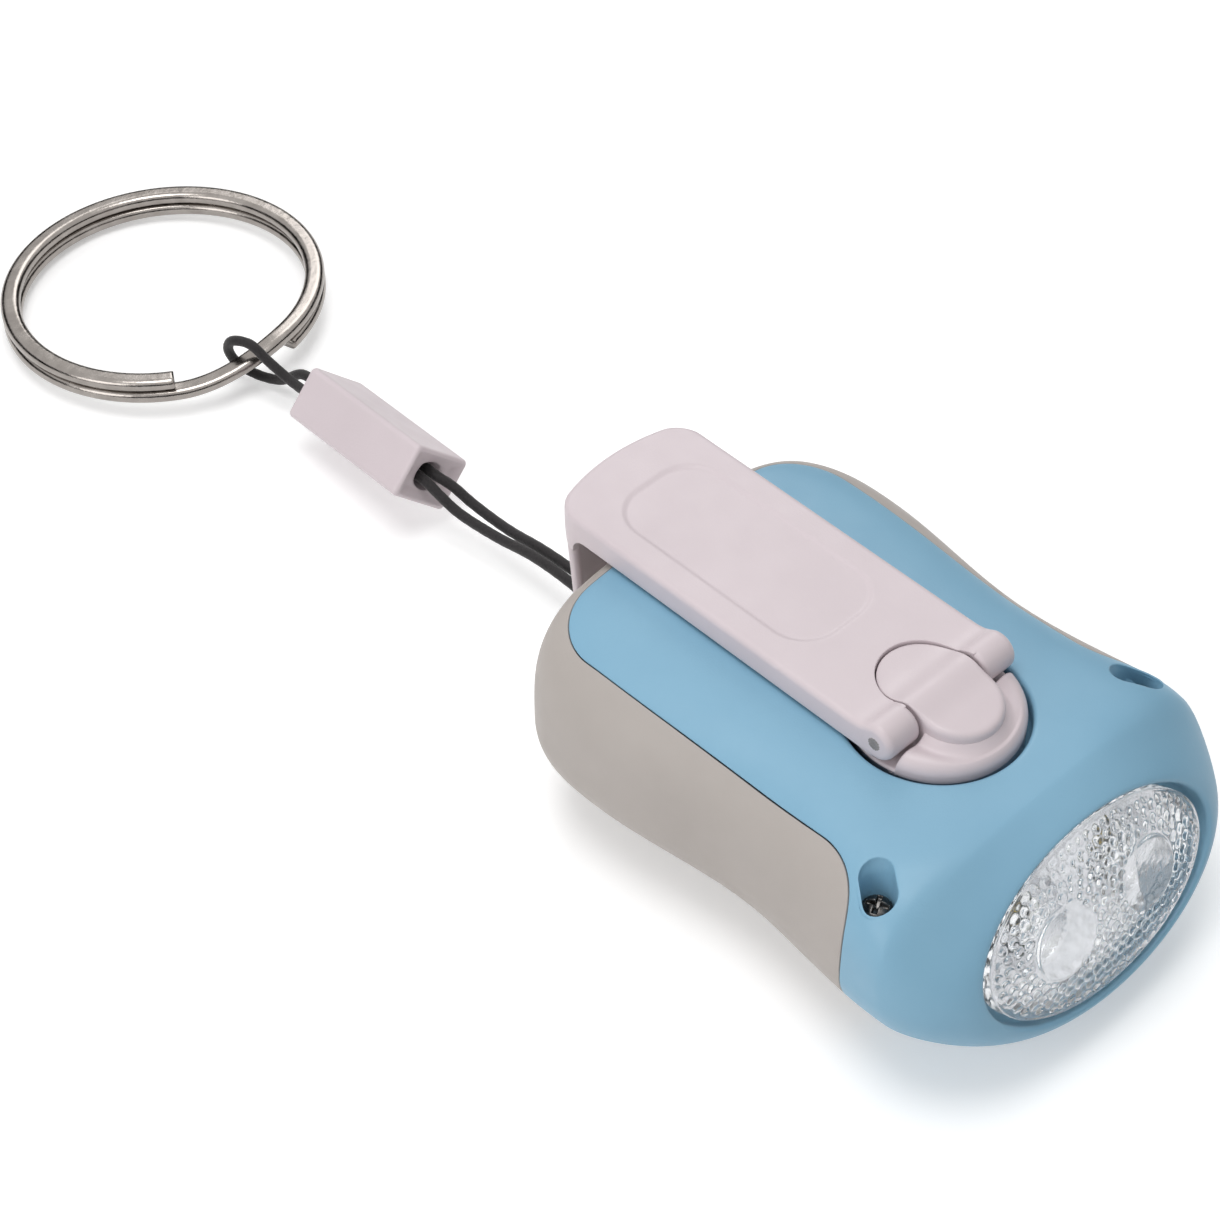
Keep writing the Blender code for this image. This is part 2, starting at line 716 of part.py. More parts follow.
cut(cover_cavity, "hub_cup", cup, (0.0, HUB_Y, 0.0))
for side in (-1, 1):
    well = rod(WELL_RADIUS + SCREW_WELL_WALL, WELL_BOTTOM_Z, BODY_HEIGHT)
    cut(cover_cavity, f"screw_well_{side}", well, (side * SCREW_X, SCREW_Y, 0.0))
boss = rod(BOSS_RADIUS, DRIVE_TOP_Z + STAGE_GAP, BODY_HEIGHT, TINY_ROUND_POINTS)
cut(cover_cavity, "axle_boss", boss, (*GEAR_1, 0.0))
top_cover = add_object("top_cover", body_loft(), BLUE)
combine(top_cover, cover_cavity, "DIFFERENCE")
cut(top_cover, "cover_lens_pocket", moved(prism(POCKET, -POCKET_DEPTH, BODY_HEIGHT / 2.0), LENS_FRAME))
cut(top_cover, "cover_outside_seam", prism(around_cover_plan(), SKIRT_BOTTOM_Z, FAR))
cut(
    top_cover,
    "cover_behind_split",
    box((-FAR, FAR), (flare_end_y(), FAR), (-FAR, SKIRT_BOTTOM_Z + EPS)),
)


def arm_outline(grow):
    """Plan of a screw arm about its screw: a slot shape that runs to the rear."""
    radius = SCREW_ARM_RADIUS + grow
    front = arc((0.0, 0.0), radius, 180.0, 360.0, 10)
    return front + arc((0.0, SCREW_ARM_REACH), radius, 0.0, 180.0, 10)


for side in (-1, 1):
    here = (side * SCREW_X, SCREW_Y, 0.0)
    room = prism(arm_outline(SEAT_GAP), SCREW_ARM_Z - SEAT_GAP, WELL_BOTTOM_Z)
    cut(top_cover, f"arm_room_{side}", room, here)
    cut(top_cover, f"screw_counterbore_{side}", rod(WELL_RADIUS, WELL_SEAT_Z, FAR), here)
    cut(
        top_cover,
        f"screw_clearance_{side}",
        rod(SCREW_RADIUS + BORE_GAP, WELL_BOTTOM_Z - 1.0, WELL_SEAT_Z + 1.0, TINY_ROUND_POINTS),
        here,
    )
cut(
    top_cover,
    "hub_recess",
    rod(HUB_RECESS_RADIUS, HUB_FLOOR_Z, FAR, ROUND_POINTS),
    (0.0, HUB_Y, 0.0),
)
cut(
    top_cover,
    "hub_bearing",
    rod(SHAFT_RADIUS + BORE_GAP, CUP_BOTTOM_Z - 1.0, HUB_FLOOR_Z + 1.0),
    (0.0, HUB_Y, 0.0),
)
cut(
    top_cover,
    "axle_socket",
    rod(AXLE_RADIUS + PRESS_GAP, DRIVE_TOP_Z, AXLE_1_TOP_Z + PRESS_GAP, TINY_ROUND_POINTS),
    (*GEAR_1, 0.0),
)

# Lower case: the tub around the cover, with screw arms, posts and the cord slot.
lower_case = add_object("lower_case", body_loft(), GREY)
cut(lower_case, "case_cavity", cavity_loft())
split_y = flare_end_y() + SEAM_GAP
cut(
    lower_case,
    "case_inside_seam",
    prism(cover_plan(SEAM_GAP), SKIRT_BOTTOM_Z - SEAM_GAP, FAR),
)
cut(
    lower_case,
    "case_before_split",
    box((-FAR, FAR), (-FAR, split_y), (-FAR, SKIRT_BOTTOM_Z)),
)
cut(lower_case, "case_foot", box((-FAR, FAR), (-FAR, FAR), (-FAR, 0.0)))


def notch_outline():
    """The finger notch seen along Y, flaring out towards the top."""
    rise = 6.0
    right = [(NOTCH_HALF_WIDTH - 1.0, NOTCH_BOTTOM_Z)]
    right.append((NOTCH_HALF_WIDTH, NOTCH_BOTTOM_Z + 1.0))
    centre = (NOTCH_HALF_WIDTH + NOTCH_FLARE_RADIUS, NOTCH_FLARE_Z)
    right += arc(centre, NOTCH_FLARE_RADIUS, 180.0, 95.0, 6)
    right.append((NOTCH_TOP_HALF_WIDTH, NOTCH_FLARE_Z + NOTCH_FLARE_RADIUS))
    right.append((NOTCH_TOP_HALF_WIDTH, NOTCH_FLARE_Z + NOTCH_FLARE_RADIUS + rise))
    return right + [(-x, z) for x, z in right[::-1]]


NOTCH_Y = BODY_REAR_Y - NOTCH_DEPTH
notch = prism(notch_outline(), -NOTCH_DEPTH - 8.0, 0.0)
cut(lower_case, "finger_notch", along_y(notch), (0.0, NOTCH_Y, 0.0))

ARM_TOP_Z = WELL_BOTTOM_Z - SEAT_GAP
for side in (-1, 1):
    here = (side * SCREW_X, SCREW_Y, 0.0)
    arm = prism(arm_outline(0.0), SCREW_ARM_Z, ARM_TOP_Z)
    join(lower_case, f"screw_arm_{side}", arm, here)
    cut(
        lower_case,
        f"screw_pilot_{side}",
        rod(SCREW_RADIUS + BORE_GAP, SCREW_ARM_Z - 1.0, FAR, TINY_ROUND_POINTS),
        here,
    )


def floor_z(x, y):
    """Height just inside the bottom wall, so that a post there is rooted in it."""
    ring = body_section(y, WALL, BODY_REAR_Y - REAR_WALL, 4 * SECTION_POINTS)
    low = [p for p in ring if p[2] < LENS_Z and p[0] >= 0.0]
    best = min(low, key=lambda p: abs(p[0] - abs(x)))
    return best[2] - WALL / 3.0


def post(name, x, y, radius, top):
    join(lower_case, name, rod(radius, floor_z(x, y), top, TINY_ROUND_POINTS), (x, y, 0.0))


for side in (-1, 1):
    for y in (PLATE_POST_FRONT_Y, PLATE_POST_REAR_Y):
        x = side * PLATE_POST_X
        post(f"plate_post_{side}_{y}", x, y, PLATE_POST_RADIUS, PLATE_Z - SEAT_GAP)
        post(f"plate_pin_{side}_{y}", x, y, PLATE_PIN_RADIUS, PLATE_TOP_Z + 0.1)
    yoke_x = side * (MAGNET_RADIUS + POLE_GAP + POLE_THICKNESS - YOKE_ARM_WIDTH / 2.0)
    post(f"yoke_post_{side}", yoke_x, YOKE_POST_Y, YOKE_POST_RADIUS, YOKE_Z - SEAT_GAP)
    for y in (BOARD_FRONT_Y + BOARD_POST_INSET, BOARD_REAR_Y - BOARD_POST_INSET):
        x = side * (BOARD_HALF_WIDTH - BOARD_POST_INSET)
        post(f"board_post_{side}_{y}", x, y, BOARD_POST_RADIUS, BOARD_Z - SEAT_GAP)
AXLE_SOCKET_TOP_Z = MAGNET_Z - STAGE_GAP
post("rotor_boss", ROTOR[0], ROTOR[1], AXLE_RADIUS + 1.1, AXLE_SOCKET_TOP_Z)
ROTOR_AXLE_Z = 1.0
cut(
    lower_case,
    "rotor_socket",
    rod(ROTOR_AXLE_RADIUS + PRESS_GAP, ROTOR_AXLE_Z, AXLE_SOCKET_TOP_Z + 1.0, TINY_ROUND_POINTS),
    (*ROTOR, 0.0),
)
cut(
    lower_case,
    "button_hole",
    rod(BUTTON_RADIUS + SLIDE_GAP, -1.0, BUTTON_FLANGE_Z, SMALL_ROUND_POINTS),
    (0.0, BUTTON_Y, 0.0),
)
SLOT_HALF_HEIGHT = CORD_RADIUS + CORD_HOLE_GAP
SLOT_HALF_WIDTH = CORD_SPREAD + SLOT_HALF_HEIGHT
slot = rounded_box_outline(
    (-SLOT_HALF_WIDTH, SLOT_HALF_WIDTH),
    (-SLOT_HALF_HEIGHT, SLOT_HALF_HEIGHT),
    SLOT_HALF_HEIGHT * 0.98,
)
cut(
    lower_case,
    "cord_slot",
    along_y(prism(slot, -REAR_WALL - 3.0, 3.0)),
    (0.0, BODY_REAR_Y - REAR_WALL, CORD_EXIT_Z),
)

# Case screws: pan heads in the wells, biting into the arms of the lower case.
screw_profile = [
    (0.0, -SCREW_LENGTH),
    (SCREW_RADIUS * 0.5, -SCREW_LENGTH),
    (SCREW_RADIUS, -SCREW_LENGTH + 0.8),
    (SCREW_RADIUS, 0.0),
    (SCREW_HEAD_RADIUS, 0.0),
    (SCREW_HEAD_RADIUS, SCREW_HEAD_HEIGHT * 0.45),
    (SCREW_HEAD_RADIUS * 0.8, SCREW_HEAD_HEIGHT * 0.85),
    (SCREW_HEAD_RADIUS * 0.4, SCREW_HEAD_HEIGHT),
    (0.0, SCREW_HEAD_HEIGHT),
]
screw_shape = turned(screw_profile, SMALL_ROUND_POINTS)
for name, side in (("case_screw_left", -1), ("case_screw_right", 1)):
    add_object(name, screw_shape, DARK_STEEL, (side * SCREW_X, SCREW_Y, SCREW_HEAD_Z))


# Lens: a domed oval with a flat flange, sunk slightly below its opening.
def lens_shape():
    field_x = LENS_HALF_WIDTH - LENS_FLANGE
    field_y = LENS_HALF_HEIGHT - LENS_FLANGE
    back = -LENS_SUNK - LENS_THICKNESS
    points = ROUND_POINTS
    rings = []

    def ring(half_x, half_y, out):
        rings.append([(x, y, out) for x, y in ellipse(half_x, half_y, points)])

    shares = (0.4, 0.75, 1.0)
    for share in shares:
        rise = LENS_DOME * (1.0 - share**2)
        ring(field_x * share, field_y * share, back + rise)
    ring(LENS_HALF_WIDTH, LENS_HALF_HEIGHT, back)
    ring(LENS_HALF_WIDTH, LENS_HALF_HEIGHT, -LENS_SUNK)
    for share in shares[::-1]:
        rise = LENS_DOME * (1.0 - share**2)
        ring(field_x * share, field_y * share, rise - LENS_SUNK)
    return moved(loft(rings), LENS_FRAME)


add_object("lens", lens_shape(), CLEAR)

# Reflector: a silvered plate behind the lens with a cup round each LED.
reflector = add_object(
    "reflector",
    moved(
        prism(
            ellipse(REFLECTOR_HALF_WIDTH, REFLECTOR_HALF_HEIGHT),
            -REFLECTOR_DEPTH - REFLECTOR_THICKNESS,
            -REFLECTOR_DEPTH,
        ),
        LENS_FRAME,
    ),
    SILVER,
)
cup_y = LENS_Y + REFLECTOR_DEPTH
cup_rear_y = cup_y + CUP_LENGTH
for side in (-1, 1):
    here = (side * LED_X, cup_rear_y, LED_Z)
    join(reflector, f"cup_{side}", along_y(rod(CUP_RADIUS, 0.0, CUP_LENGTH - 1.4)), here)
for side in (-1, 1):
    here = (side * LED_X, cup_rear_y, LED_Z)
    bore = turned(
        [
            (0.0, -2.0),
            (CUP_THROAT_RADIUS, -2.0),
            (CUP_THROAT_RADIUS, 0.2),
            (CUP_MOUTH_RADIUS, CUP_LENGTH + 2.0),
            (0.0, CUP_LENGTH + 2.0),
        ],
        SMALL_ROUND_POINTS,
    )
    cut(reflector, f"cup_bore_{side}", along_y(bore), here)

# LEDs on their upright board.
led_profile = [
    (0.0, 0.0),
    (LED_FLANGE_RADIUS, 0.0),
    (LED_FLANGE_RADIUS, LED_FLANGE_THICKNESS),
    (LED_RADIUS, LED_FLANGE_THICKNESS),
]
dome_rise = LED_RADIUS * 0.7
for angle in (0, 25, 50, 75):
    turn = math.radians(angle)
    out = LED_LENGTH - dome_rise + dome_rise * math.sin(turn)
    led_profile.append((LED_RADIUS * math.cos(turn), out))
led_profile.append((0.0, LED_LENGTH))
led_shape = along_y(turned(led_profile, SMALL_ROUND_POINTS))
LED_BASE_Y = LED_BOARD_Y - PRESS_GAP
for name, side in (("led_left", -1), ("led_right", 1)):
    add_object(name, led_shape, LED_CLEAR, (side * LED_X, LED_BASE_Y, LED_Z))
board_rear_y = LED_BOARD_Y + LED_BOARD_THICKNESS
led_board_outline = rounded_box_outline(
    (-LED_BOARD_HALF_WIDTH, LED_BOARD_HALF_WIDTH),
    (LED_BOARD_BOTTOM_Z, LED_BOARD_TOP_Z),
    0.8,
    3,
)
add_object(
    "led_board",
    along_y(prism(led_board_outline, 0.0, LED_BOARD_THICKNESS)),
    BOARD,
    (0.0, board_rear_y, 0.0),
)

# Crank hub: a disc with a raised front rim, a waisted tongue and a drive shaft.
crank_axis = bpy.data.objects.new("crank_axis", None)
crank_axis.location = (0.0, HUB_Y * MM, 0.0)
bpy.context.scene.collection.objects.link(crank_axis)
HUB_BOTTOM_Z = HUB_FLOOR_Z + SEAT_GAP
HUB_TOP_Z = HINGE_Z - KNUCKLE_RADIUS - SEAT_GAP


def hub_disc():
    profile = [(0.0, HUB_BOTTOM_Z), (HUB_RADIUS - 0.3, HUB_BOTTOM_Z)]
    profile.append((HUB_RADIUS, HUB_BOTTOM_Z + 0.3))
    for angle in (0, 30, 60, 90):
        turn = math.radians(angle)
        radius = HUB_RADIUS - HUB_RIM_ROUND * (1.0 - math.cos(turn))
        profile.append((radius, HUB_RIM_TOP_Z - HUB_RIM_ROUND * (1.0 - math.sin(turn))))
    profile.append((0.0, HUB_RIM_TOP_Z))
    return turned(profile)


crank_hub = add_object("crank_hub", hub_disc(), PINK, parent=crank_axis)
cut(
    crank_hub,
    "hub_step",
    box((-20.0, 20.0), (HUB_Y - HUB_RIM_SETBACK, HUB_Y + 20.0), (HUB_TOP_Z, FAR)),
)


def lobe(top, edge):
    low = HUB_TOP_Z - 1.0
    profile = [(0.0, low), (LOBE_RADIUS, low), (LOBE_RADIUS, top - edge)]
    profile += [(LOBE_RADIUS - 0.3 * edge, top - 0.3 * edge), (LOBE_RADIUS - edge, top), (0.0, top)]
    return turned(profile)


join(crank_hub, "rear_lobe", lobe(REAR_LOBE_TOP_Z, 0.3), (0.0, HUB_Y + LOBE_OFFSET, 0.0))
join(crank_hub, "front_lobe", lobe(FRONT_LOBE_TOP_Z, 0.7), (0.0, HUB_Y - LOBE_OFFSET, 0.0))
BARREL_HALF = KNUCKLE_INNER_X - SEAT_GAP - 0.1
join(
    crank_hub,
    "hinge_barrel",
    along_x(rod(BARREL_RADIUS, -BARREL_HALF, BARREL_HALF)),
    (0.0, HUB_Y, HINGE_Z),
)
SHAFT_STEP_Z = DRIVE_TOP_Z + SEAT_GAP
DRIVE_SHAFT_Z = DRIVE_Z + PRESS_GAP
shaft_profile = [
    (0.0, SHAFT_STEP_Z),
    (SHAFT_RADIUS, SHAFT_STEP_Z),
    (SHAFT_RADIUS, HUB_BOTTOM_Z + 0.5),
    (0.0, HUB_BOTTOM_Z + 0.5),
]
join(crank_hub, "hub_shaft", turned(shaft_profile, SMALL_ROUND_POINTS), (0.0, HUB_Y, 0.0))


def flatted(radius, flat, low, high):
    """A round bar with one flat, for a drive that can't slip."""
    angle = math.degrees(math.acos(flat / radius))
    return prism(arc((0.0, 0.0), radius, angle, 360.0 - angle, 22), low, high)


join(
    crank_hub,
    "hub_drive",
    flatted(SHAFT_FLAT_RADIUS, SHAFT_FLAT_X, DRIVE_SHAFT_Z, SHAFT_STEP_Z + 0.5),
    (0.0, HUB_Y, 0.0),
)
GEAR_SCREW_RADIUS = 0.5
GEAR_SCREW_TOP_Z = HUB_FLOOR_Z
cut(
    crank_hub,
    "hub_screw_hole",
    rod(GEAR_SCREW_RADIUS + PRESS_GAP, 0.0, GEAR_SCREW_TOP_Z + 0.3, TINY_ROUND_POINTS),
    (0.0, HUB_Y, 0.0),
)
cut(
    crank_hub,
    "hub_pin_hole",
    along_x(rod(PIN_RADIUS + PRESS_GAP, -FAR, FAR, TINY_ROUND_POINTS)),
    (0.0, HUB_Y, HINGE_Z),
)

# The tools of the hub are placed in the model's frame; the disc follows its own axis.

# Crank lever: a bowed plate with a pad, two knuckles at the front and a lip at the rear.


def lever_rear(x, inset):
    """The bowed rear edge, a shallow arc."""
    radius = (LEVER_HALF_WIDTH**2 + LEVER_BOW**2) / (2.0 * LEVER_BOW) - inset
    centre_y = LEVER_REAR_Y - inset - radius
    return centre_y + math.sqrt(radius**2 - x**2)


def lever_outline(inset, front_y):
    """Plan of the lever: straight sides, a bowed rear edge and rounded corners."""
    half = LEVER_HALF_WIDTH - inset
    corner = LEVER_CORNER - inset
    right = [(half, front_y)]
    centre_x = half - corner
    centre_y = lever_rear(centre_x, inset) - corner
    right += arc((centre_x, centre_y), corner, 0.0, 78.0, 6)
    for share in (0.75, 0.5, 0.25):
        x = centre_x * share
        right.append((x, lever_rear(x, inset)))
    middle = [(0.0, lever_rear(0.0, inset))]
    return right + middle + [(-x, y) for x, y in right[::-1]]


def lever_ring(inset, z):
    front_y = HUB_Y + KNUCKLE_RADIUS * 0.2 + inset * 0.5
    return [(x, y - HUB_Y, z - HINGE_Z) for x, y in lever_outline(inset, front_y)]


plate_rings = [
    lever_ring(LEVER_ROUND, LEVER_BOTTOM_Z),
    lever_ring(LEVER_ROUND * 0.3, LEVER_BOTTOM_Z + LEVER_ROUND * 0.3),
    lever_ring(0.0, LEVER_BOTTOM_Z + LEVER_ROUND),
    lever_ring(0.0, LEVER_TOP_Z - LEVER_ROUND),
    lever_ring(LEVER_ROUND * 0.3, LEVER_TOP_Z - LEVER_ROUND * 0.3),
    lever_ring(LEVER_ROUND, LEVER_TOP_Z),
]
lever_axis = bpy.data.objects.new("lever_axis", None)
lever_axis.parent = crank_axis
lever_axis.location = (0.0, 0.0, HINGE_Z * MM)
bpy.context.scene.collection.objects.link(lever_axis)
crank_lever = add_object("crank_lever", loft(plate_rings), PINK, parent=lever_axis)


def lip_ring(z, lean, thickness):
    """A bowed strip under the rear edge, leaning in towards the bottom."""
    outer = lever_outline(0.05, LEVER_REAR_Y - LEVER_BOW - thickness)
    outer = [(x, y - lean) for x, y in outer]
    inner = []
    for x in np.linspace(-LEVER_HALF_WIDTH + 0.6, LEVER_HALF_WIDTH - 0.6, 9):
        inner.append((float(x), lever_rear(float(x), 0.0) - lean - thickness))
    return [(x, y, z) for x, y in outer + inner]


join(
    crank_lever,
    "lever_lip",
    loft(
        [
            lip_ring(LIP_BOTTOM_Z, LIP_LEAN, LIP_BOTTOM_THICKNESS),
            lip_ring(LEVER_BOTTOM_Z + 0.8, 0.0, LIP_TOP_THICKNESS),
        ]
    ),
)
for side in (-1, 1):
    ends = sorted((side * (KNUCKLE_INNER_X - SEAT_GAP), side * (LEVER_HALF_WIDTH - EPS)))
    join(
        crank_lever,
        f"knuckle_{side}",
        along_x(rod(KNUCKLE_RADIUS, ends[0], ends[1])),
        (0.0, HUB_Y, HINGE_Z),
    )


def lobe_clearance():
    """Plan of the cut-out that the hub's rear lobe lies in."""
    radius = LOBE_RADIUS + SEAT_GAP
    drop = math.degrees(math.acos(min(1.0, KNUCKLE_INNER_X / radius)))
    bow = arc((0.0, LOBE_OFFSET), radius, -drop, 180.0 + drop, 25)
    return [(-KNUCKLE_INNER_X, -4.0), (KNUCKLE_INNER_X, -4.0)] + bow


cut(crank_lever, "lever_cutout", prism(lobe_clearance(), 0.0, FAR), (0.0, HUB_Y, 0.0))
pad = rounded_box_outline((-PAD_HALF_WIDTH, PAD_HALF_WIDTH), (PAD_FRONT_Y, PAD_REAR_Y), PAD_CORNER)
cut(crank_lever, "lever_pad", prism(pad, LEVER_TOP_Z - PAD_DEPTH, FAR))
cut(
    crank_lever,
    "lever_pin_hole",
    along_x(rod(PIN_RADIUS + PRESS_GAP, -FAR, FAR, TINY_ROUND_POINTS)),
    (0.0, HUB_Y, HINGE_Z),
)
PIN_HALF = LEVER_HALF_WIDTH - PRESS_GAP
add_object(
    "hinge_pin",
    along_x(rod(PIN_RADIUS, -PIN_HALF, PIN_HALF, TINY_ROUND_POINTS)),
    STEEL,
    parent=lever_axis,
)

# Gear train. The drive gear sits on the hub's flatted shaft, held by a screw.
drive_start = 0.0
drive_gear = add_object(
    "drive_gear",
    prism(gear_outline(DRIVE_TEETH, drive_start), DRIVE_Z, DRIVE_TOP_Z),
    NYLON,
    parent=crank_axis,
)
cut(
    drive_gear,
    "drive_gear_bore",
    flatted(
        SHAFT_FLAT_RADIUS + PRESS_GAP, SHAFT_FLAT_X + PRESS_GAP, DRIVE_Z - 1.0, DRIVE_TOP_Z + 1.0
    ),
    (0.0, HUB_Y, 0.0),
)
GEAR_SCREW_HEAD_RADIUS = 2.4
GEAR_SCREW_HEAD = 0.9
head_top = DRIVE_Z - SEAT_GAP
add_object(
    "drive_gear_screw",
    turned(
        [
            (0.0, head_top - GEAR_SCREW_HEAD),
            (GEAR_SCREW_HEAD_RADIUS * 0.7, head_top - GEAR_SCREW_HEAD),
            (GEAR_SCREW_HEAD_RADIUS, head_top - GEAR_SCREW_HEAD * 0.6),
            (GEAR_SCREW_HEAD_RADIUS, head_top),
            (GEAR_SCREW_RADIUS, head_top),
            (GEAR_SCREW_RADIUS, GEAR_SCREW_TOP_Z),
            (0.0, GEAR_SCREW_TOP_Z),
        ],
        SMALL_ROUND_POINTS,
    ),
    STEEL,
    parent=crank_axis,
)


def compound_gear(name, at, wheel_z, wheel_start, pinion_top, pinion_start):
    """A wheel with a pinion on top of it, bored for its axle."""
    wheel = prism(gear_outline(WHEEL_TEETH, wheel_start), wheel_z, wheel_z + WHEEL_THICKNESS)
    pinion = prism(gear_outline(PINION_TEETH, pinion_start), wheel_z + 0.5, pinion_top)
    gear = add_object(name, wheel, NYLON, (*at, 0.0))
    join(gear, f"{name}_pinion", pinion, (*at, 0.0))
    bore = rod(AXLE_RADIUS + BORE_GAP, wheel_z - 1.0, pinion_top + 1.0, TINY_ROUND_POINTS)
    cut(gear, f"{name}_bore", bore, (*at, 0.0))
    return gear


HUB = (0.0, HUB_Y)
pinion_1_start = meshing_angle(HUB, DRIVE_TEETH, drive_start, GEAR_1, PINION_TEETH)
wheel_1_start = pinion_1_start
pinion_2_start = meshing_angle(GEAR_1, WHEEL_TEETH, wheel_1_start, GEAR_2, PINION_TEETH)
wheel_2_start = pinion_2_start
rotor_start = meshing_angle(GEAR_2, WHEEL_TEETH, wheel_2_start, ROTOR, PINION_TEETH)
compound_gear("gear_1", GEAR_1, WHEEL_1_Z, wheel_1_start, DRIVE_TOP_Z, pinion_1_start)
GEAR_2_TOP_Z = DRIVE_Z - STAGE_GAP
compound_gear("gear_2", GEAR_2, WHEEL_2_Z, wheel_2_start, GEAR_2_TOP_Z, pinion_2_start)
add_object(
    "gear_axle_1",
    rod(AXLE_RADIUS, PLATE_Z, AXLE_1_TOP_Z, TINY_ROUND_POINTS),
    STEEL,
    (*GEAR_1, 0.0),
)
add_object(
    "gear_axle_2",
    rod(AXLE_RADIUS, PLATE_Z, GEAR_2_TOP_Z - PRESS_GAP, TINY_ROUND_POINTS),
    STEEL,
    (*GEAR_2, 0.0),
)

# Gear plate: carries both axles and steadies the rotor.
plate_front_y = board_rear_y + SEAT_GAP
gear_plate = add_object(
    "gear_plate",
    prism(
        rounded_box_outline(
            (-PLATE_HALF_WIDTH, PLATE_HALF_WIDTH), (plate_front_y, PLATE_REAR_Y), PLATE_CORNER
        ),
        PLATE_Z,
        PLATE_TOP_Z,
    ),
    BLACK,
)
for name, at, top in (
    ("plate_boss_1", GEAR_1, WHEEL_1_Z - SEAT_GAP),
    ("plate_boss_2", GEAR_2, WHEEL_2_Z - SEAT_GAP + 0.1),
):
    join(gear_plate, name, rod(PLATE_BOSS_RADIUS, PLATE_Z + 0.2, top), (*at, 0.0))
    bore = rod(AXLE_RADIUS + PRESS_GAP, PLATE_Z - 1.0, FAR, TINY_ROUND_POINTS)
    cut(gear_plate, f"{name}_bore", bore, (*at, 0.0))
neck_hole = rod(MAGNET_NECK_RADIUS + BORE_GAP, PLATE_Z - 1.0, FAR)
cut(gear_plate, "rotor_neck_hole", neck_hole, (*ROTOR, 0.0))
for side in (-1, 1):
    for y in (PLATE_POST_FRONT_Y, PLATE_POST_REAR_Y):
        hole = rod(PLATE_PIN_RADIUS + BORE_GAP, PLATE_Z - 1.0, FAR, TINY_ROUND_POINTS)
        cut(gear_plate, f"plate_hole_{side}_{y}", hole, (side * PLATE_POST_X, y, 0.0))

# Generator: a magnet on a fixed axle, its pinion, an iron yoke and a coil.
MAGNET_TOP_Z = MAGNET_Z + MAGNET_HEIGHT
PINION_3_Z = PLATE_TOP_Z + SEAT_GAP
ROTOR_TOP_Z = WHEEL_2_TOP_Z + 0.2
rotor_bore = ROTOR_AXLE_RADIUS + BORE_GAP
add_object(
    "rotor_magnet",
    turned(
        [
            (rotor_bore, MAGNET_Z),
            (MAGNET_RADIUS - 0.3, MAGNET_Z),
            (MAGNET_RADIUS, MAGNET_Z + 0.3),
            (MAGNET_RADIUS, MAGNET_TOP_Z - 0.3),
            (MAGNET_RADIUS - 0.3, MAGNET_TOP_Z),
            (MAGNET_NECK_RADIUS, MAGNET_TOP_Z),
            (MAGNET_NECK_RADIUS, PINION_3_Z - PRESS_GAP),
            (rotor_bore, PINION_3_Z - PRESS_GAP),
        ],
        SMALL_ROUND_POINTS,
    ),
    MAGNET,
    (*ROTOR, 0.0),
)
rotor_pinion = add_object(
    "rotor_pinion",
    prism(gear_outline(PINION_TEETH, rotor_start), PINION_3_Z, ROTOR_TOP_Z),
    NYLON,
    (*ROTOR, 0.0),
)
cut(
    rotor_pinion,
    "rotor_pinion_bore",
    rod(rotor_bore, PINION_3_Z - 1.0, ROTOR_TOP_Z + 1.0, TINY_ROUND_POINTS),
    (*ROTOR, 0.0),
)
add_object(
    "rotor_axle",
    rod(ROTOR_AXLE_RADIUS, ROTOR_AXLE_Z + PRESS_GAP, ROTOR_TOP_Z + 0.3, TINY_ROUND_POINTS),
    STEEL,
    (*ROTOR, 0.0),
)


def yoke_outline():
    """Plan of the yoke about the rotor: two pole shoes, two arms and a back bar."""
    inner = MAGNET_RADIUS + POLE_GAP
    outer = inner + POLE_THICKNESS
    arm_x = outer - YOKE_ARM_WIDTH
    shoe = outer - 0.6
    bar_y = YOKE_BAR_Y - ROTOR[1]
    meet = math.degrees(math.acos(arm_x / shoe))
    right = arc((0.0, 0.0), inner, POLE_REACH, -POLE_REACH, 11)
    right += arc((0.0, 0.0), outer, -POLE_REACH, 0.0, 7)
    right += [(outer, bar_y + YOKE_BAR_WIDTH / 2.0)]
    left = [(-x, y) for x, y in right[::-1]]
    inside = [(arm_x, bar_y - YOKE_BAR_WIDTH / 2.0)]
    inside += arc((0.0, 0.0), shoe, meet, POLE_REACH, 4)
    return right + left + [(-x, y) for x, y in inside[::-1]] + inside


add_object(
    "stator_yoke",
    prism(yoke_outline(), YOKE_Z, YOKE_Z + YOKE_THICKNESS),
    IRON,
    (*ROTOR, 0.0),
)
bar_half_y = YOKE_BAR_WIDTH / 2.0 + BORE_GAP
bar_half_z = YOKE_THICKNESS / 2.0 + BORE_GAP
coil_at = (0.0, YOKE_BAR_Y, YOKE_Z + YOKE_THICKNESS / 2.0)


def square(half_y, half_z, corner, low, high):
    """A bar along X with a rounded square section."""
    outline = rounded_box_outline((-half_z, half_z), (-half_y, half_y), corner, 4)
    return along_x(prism(outline, low, high))


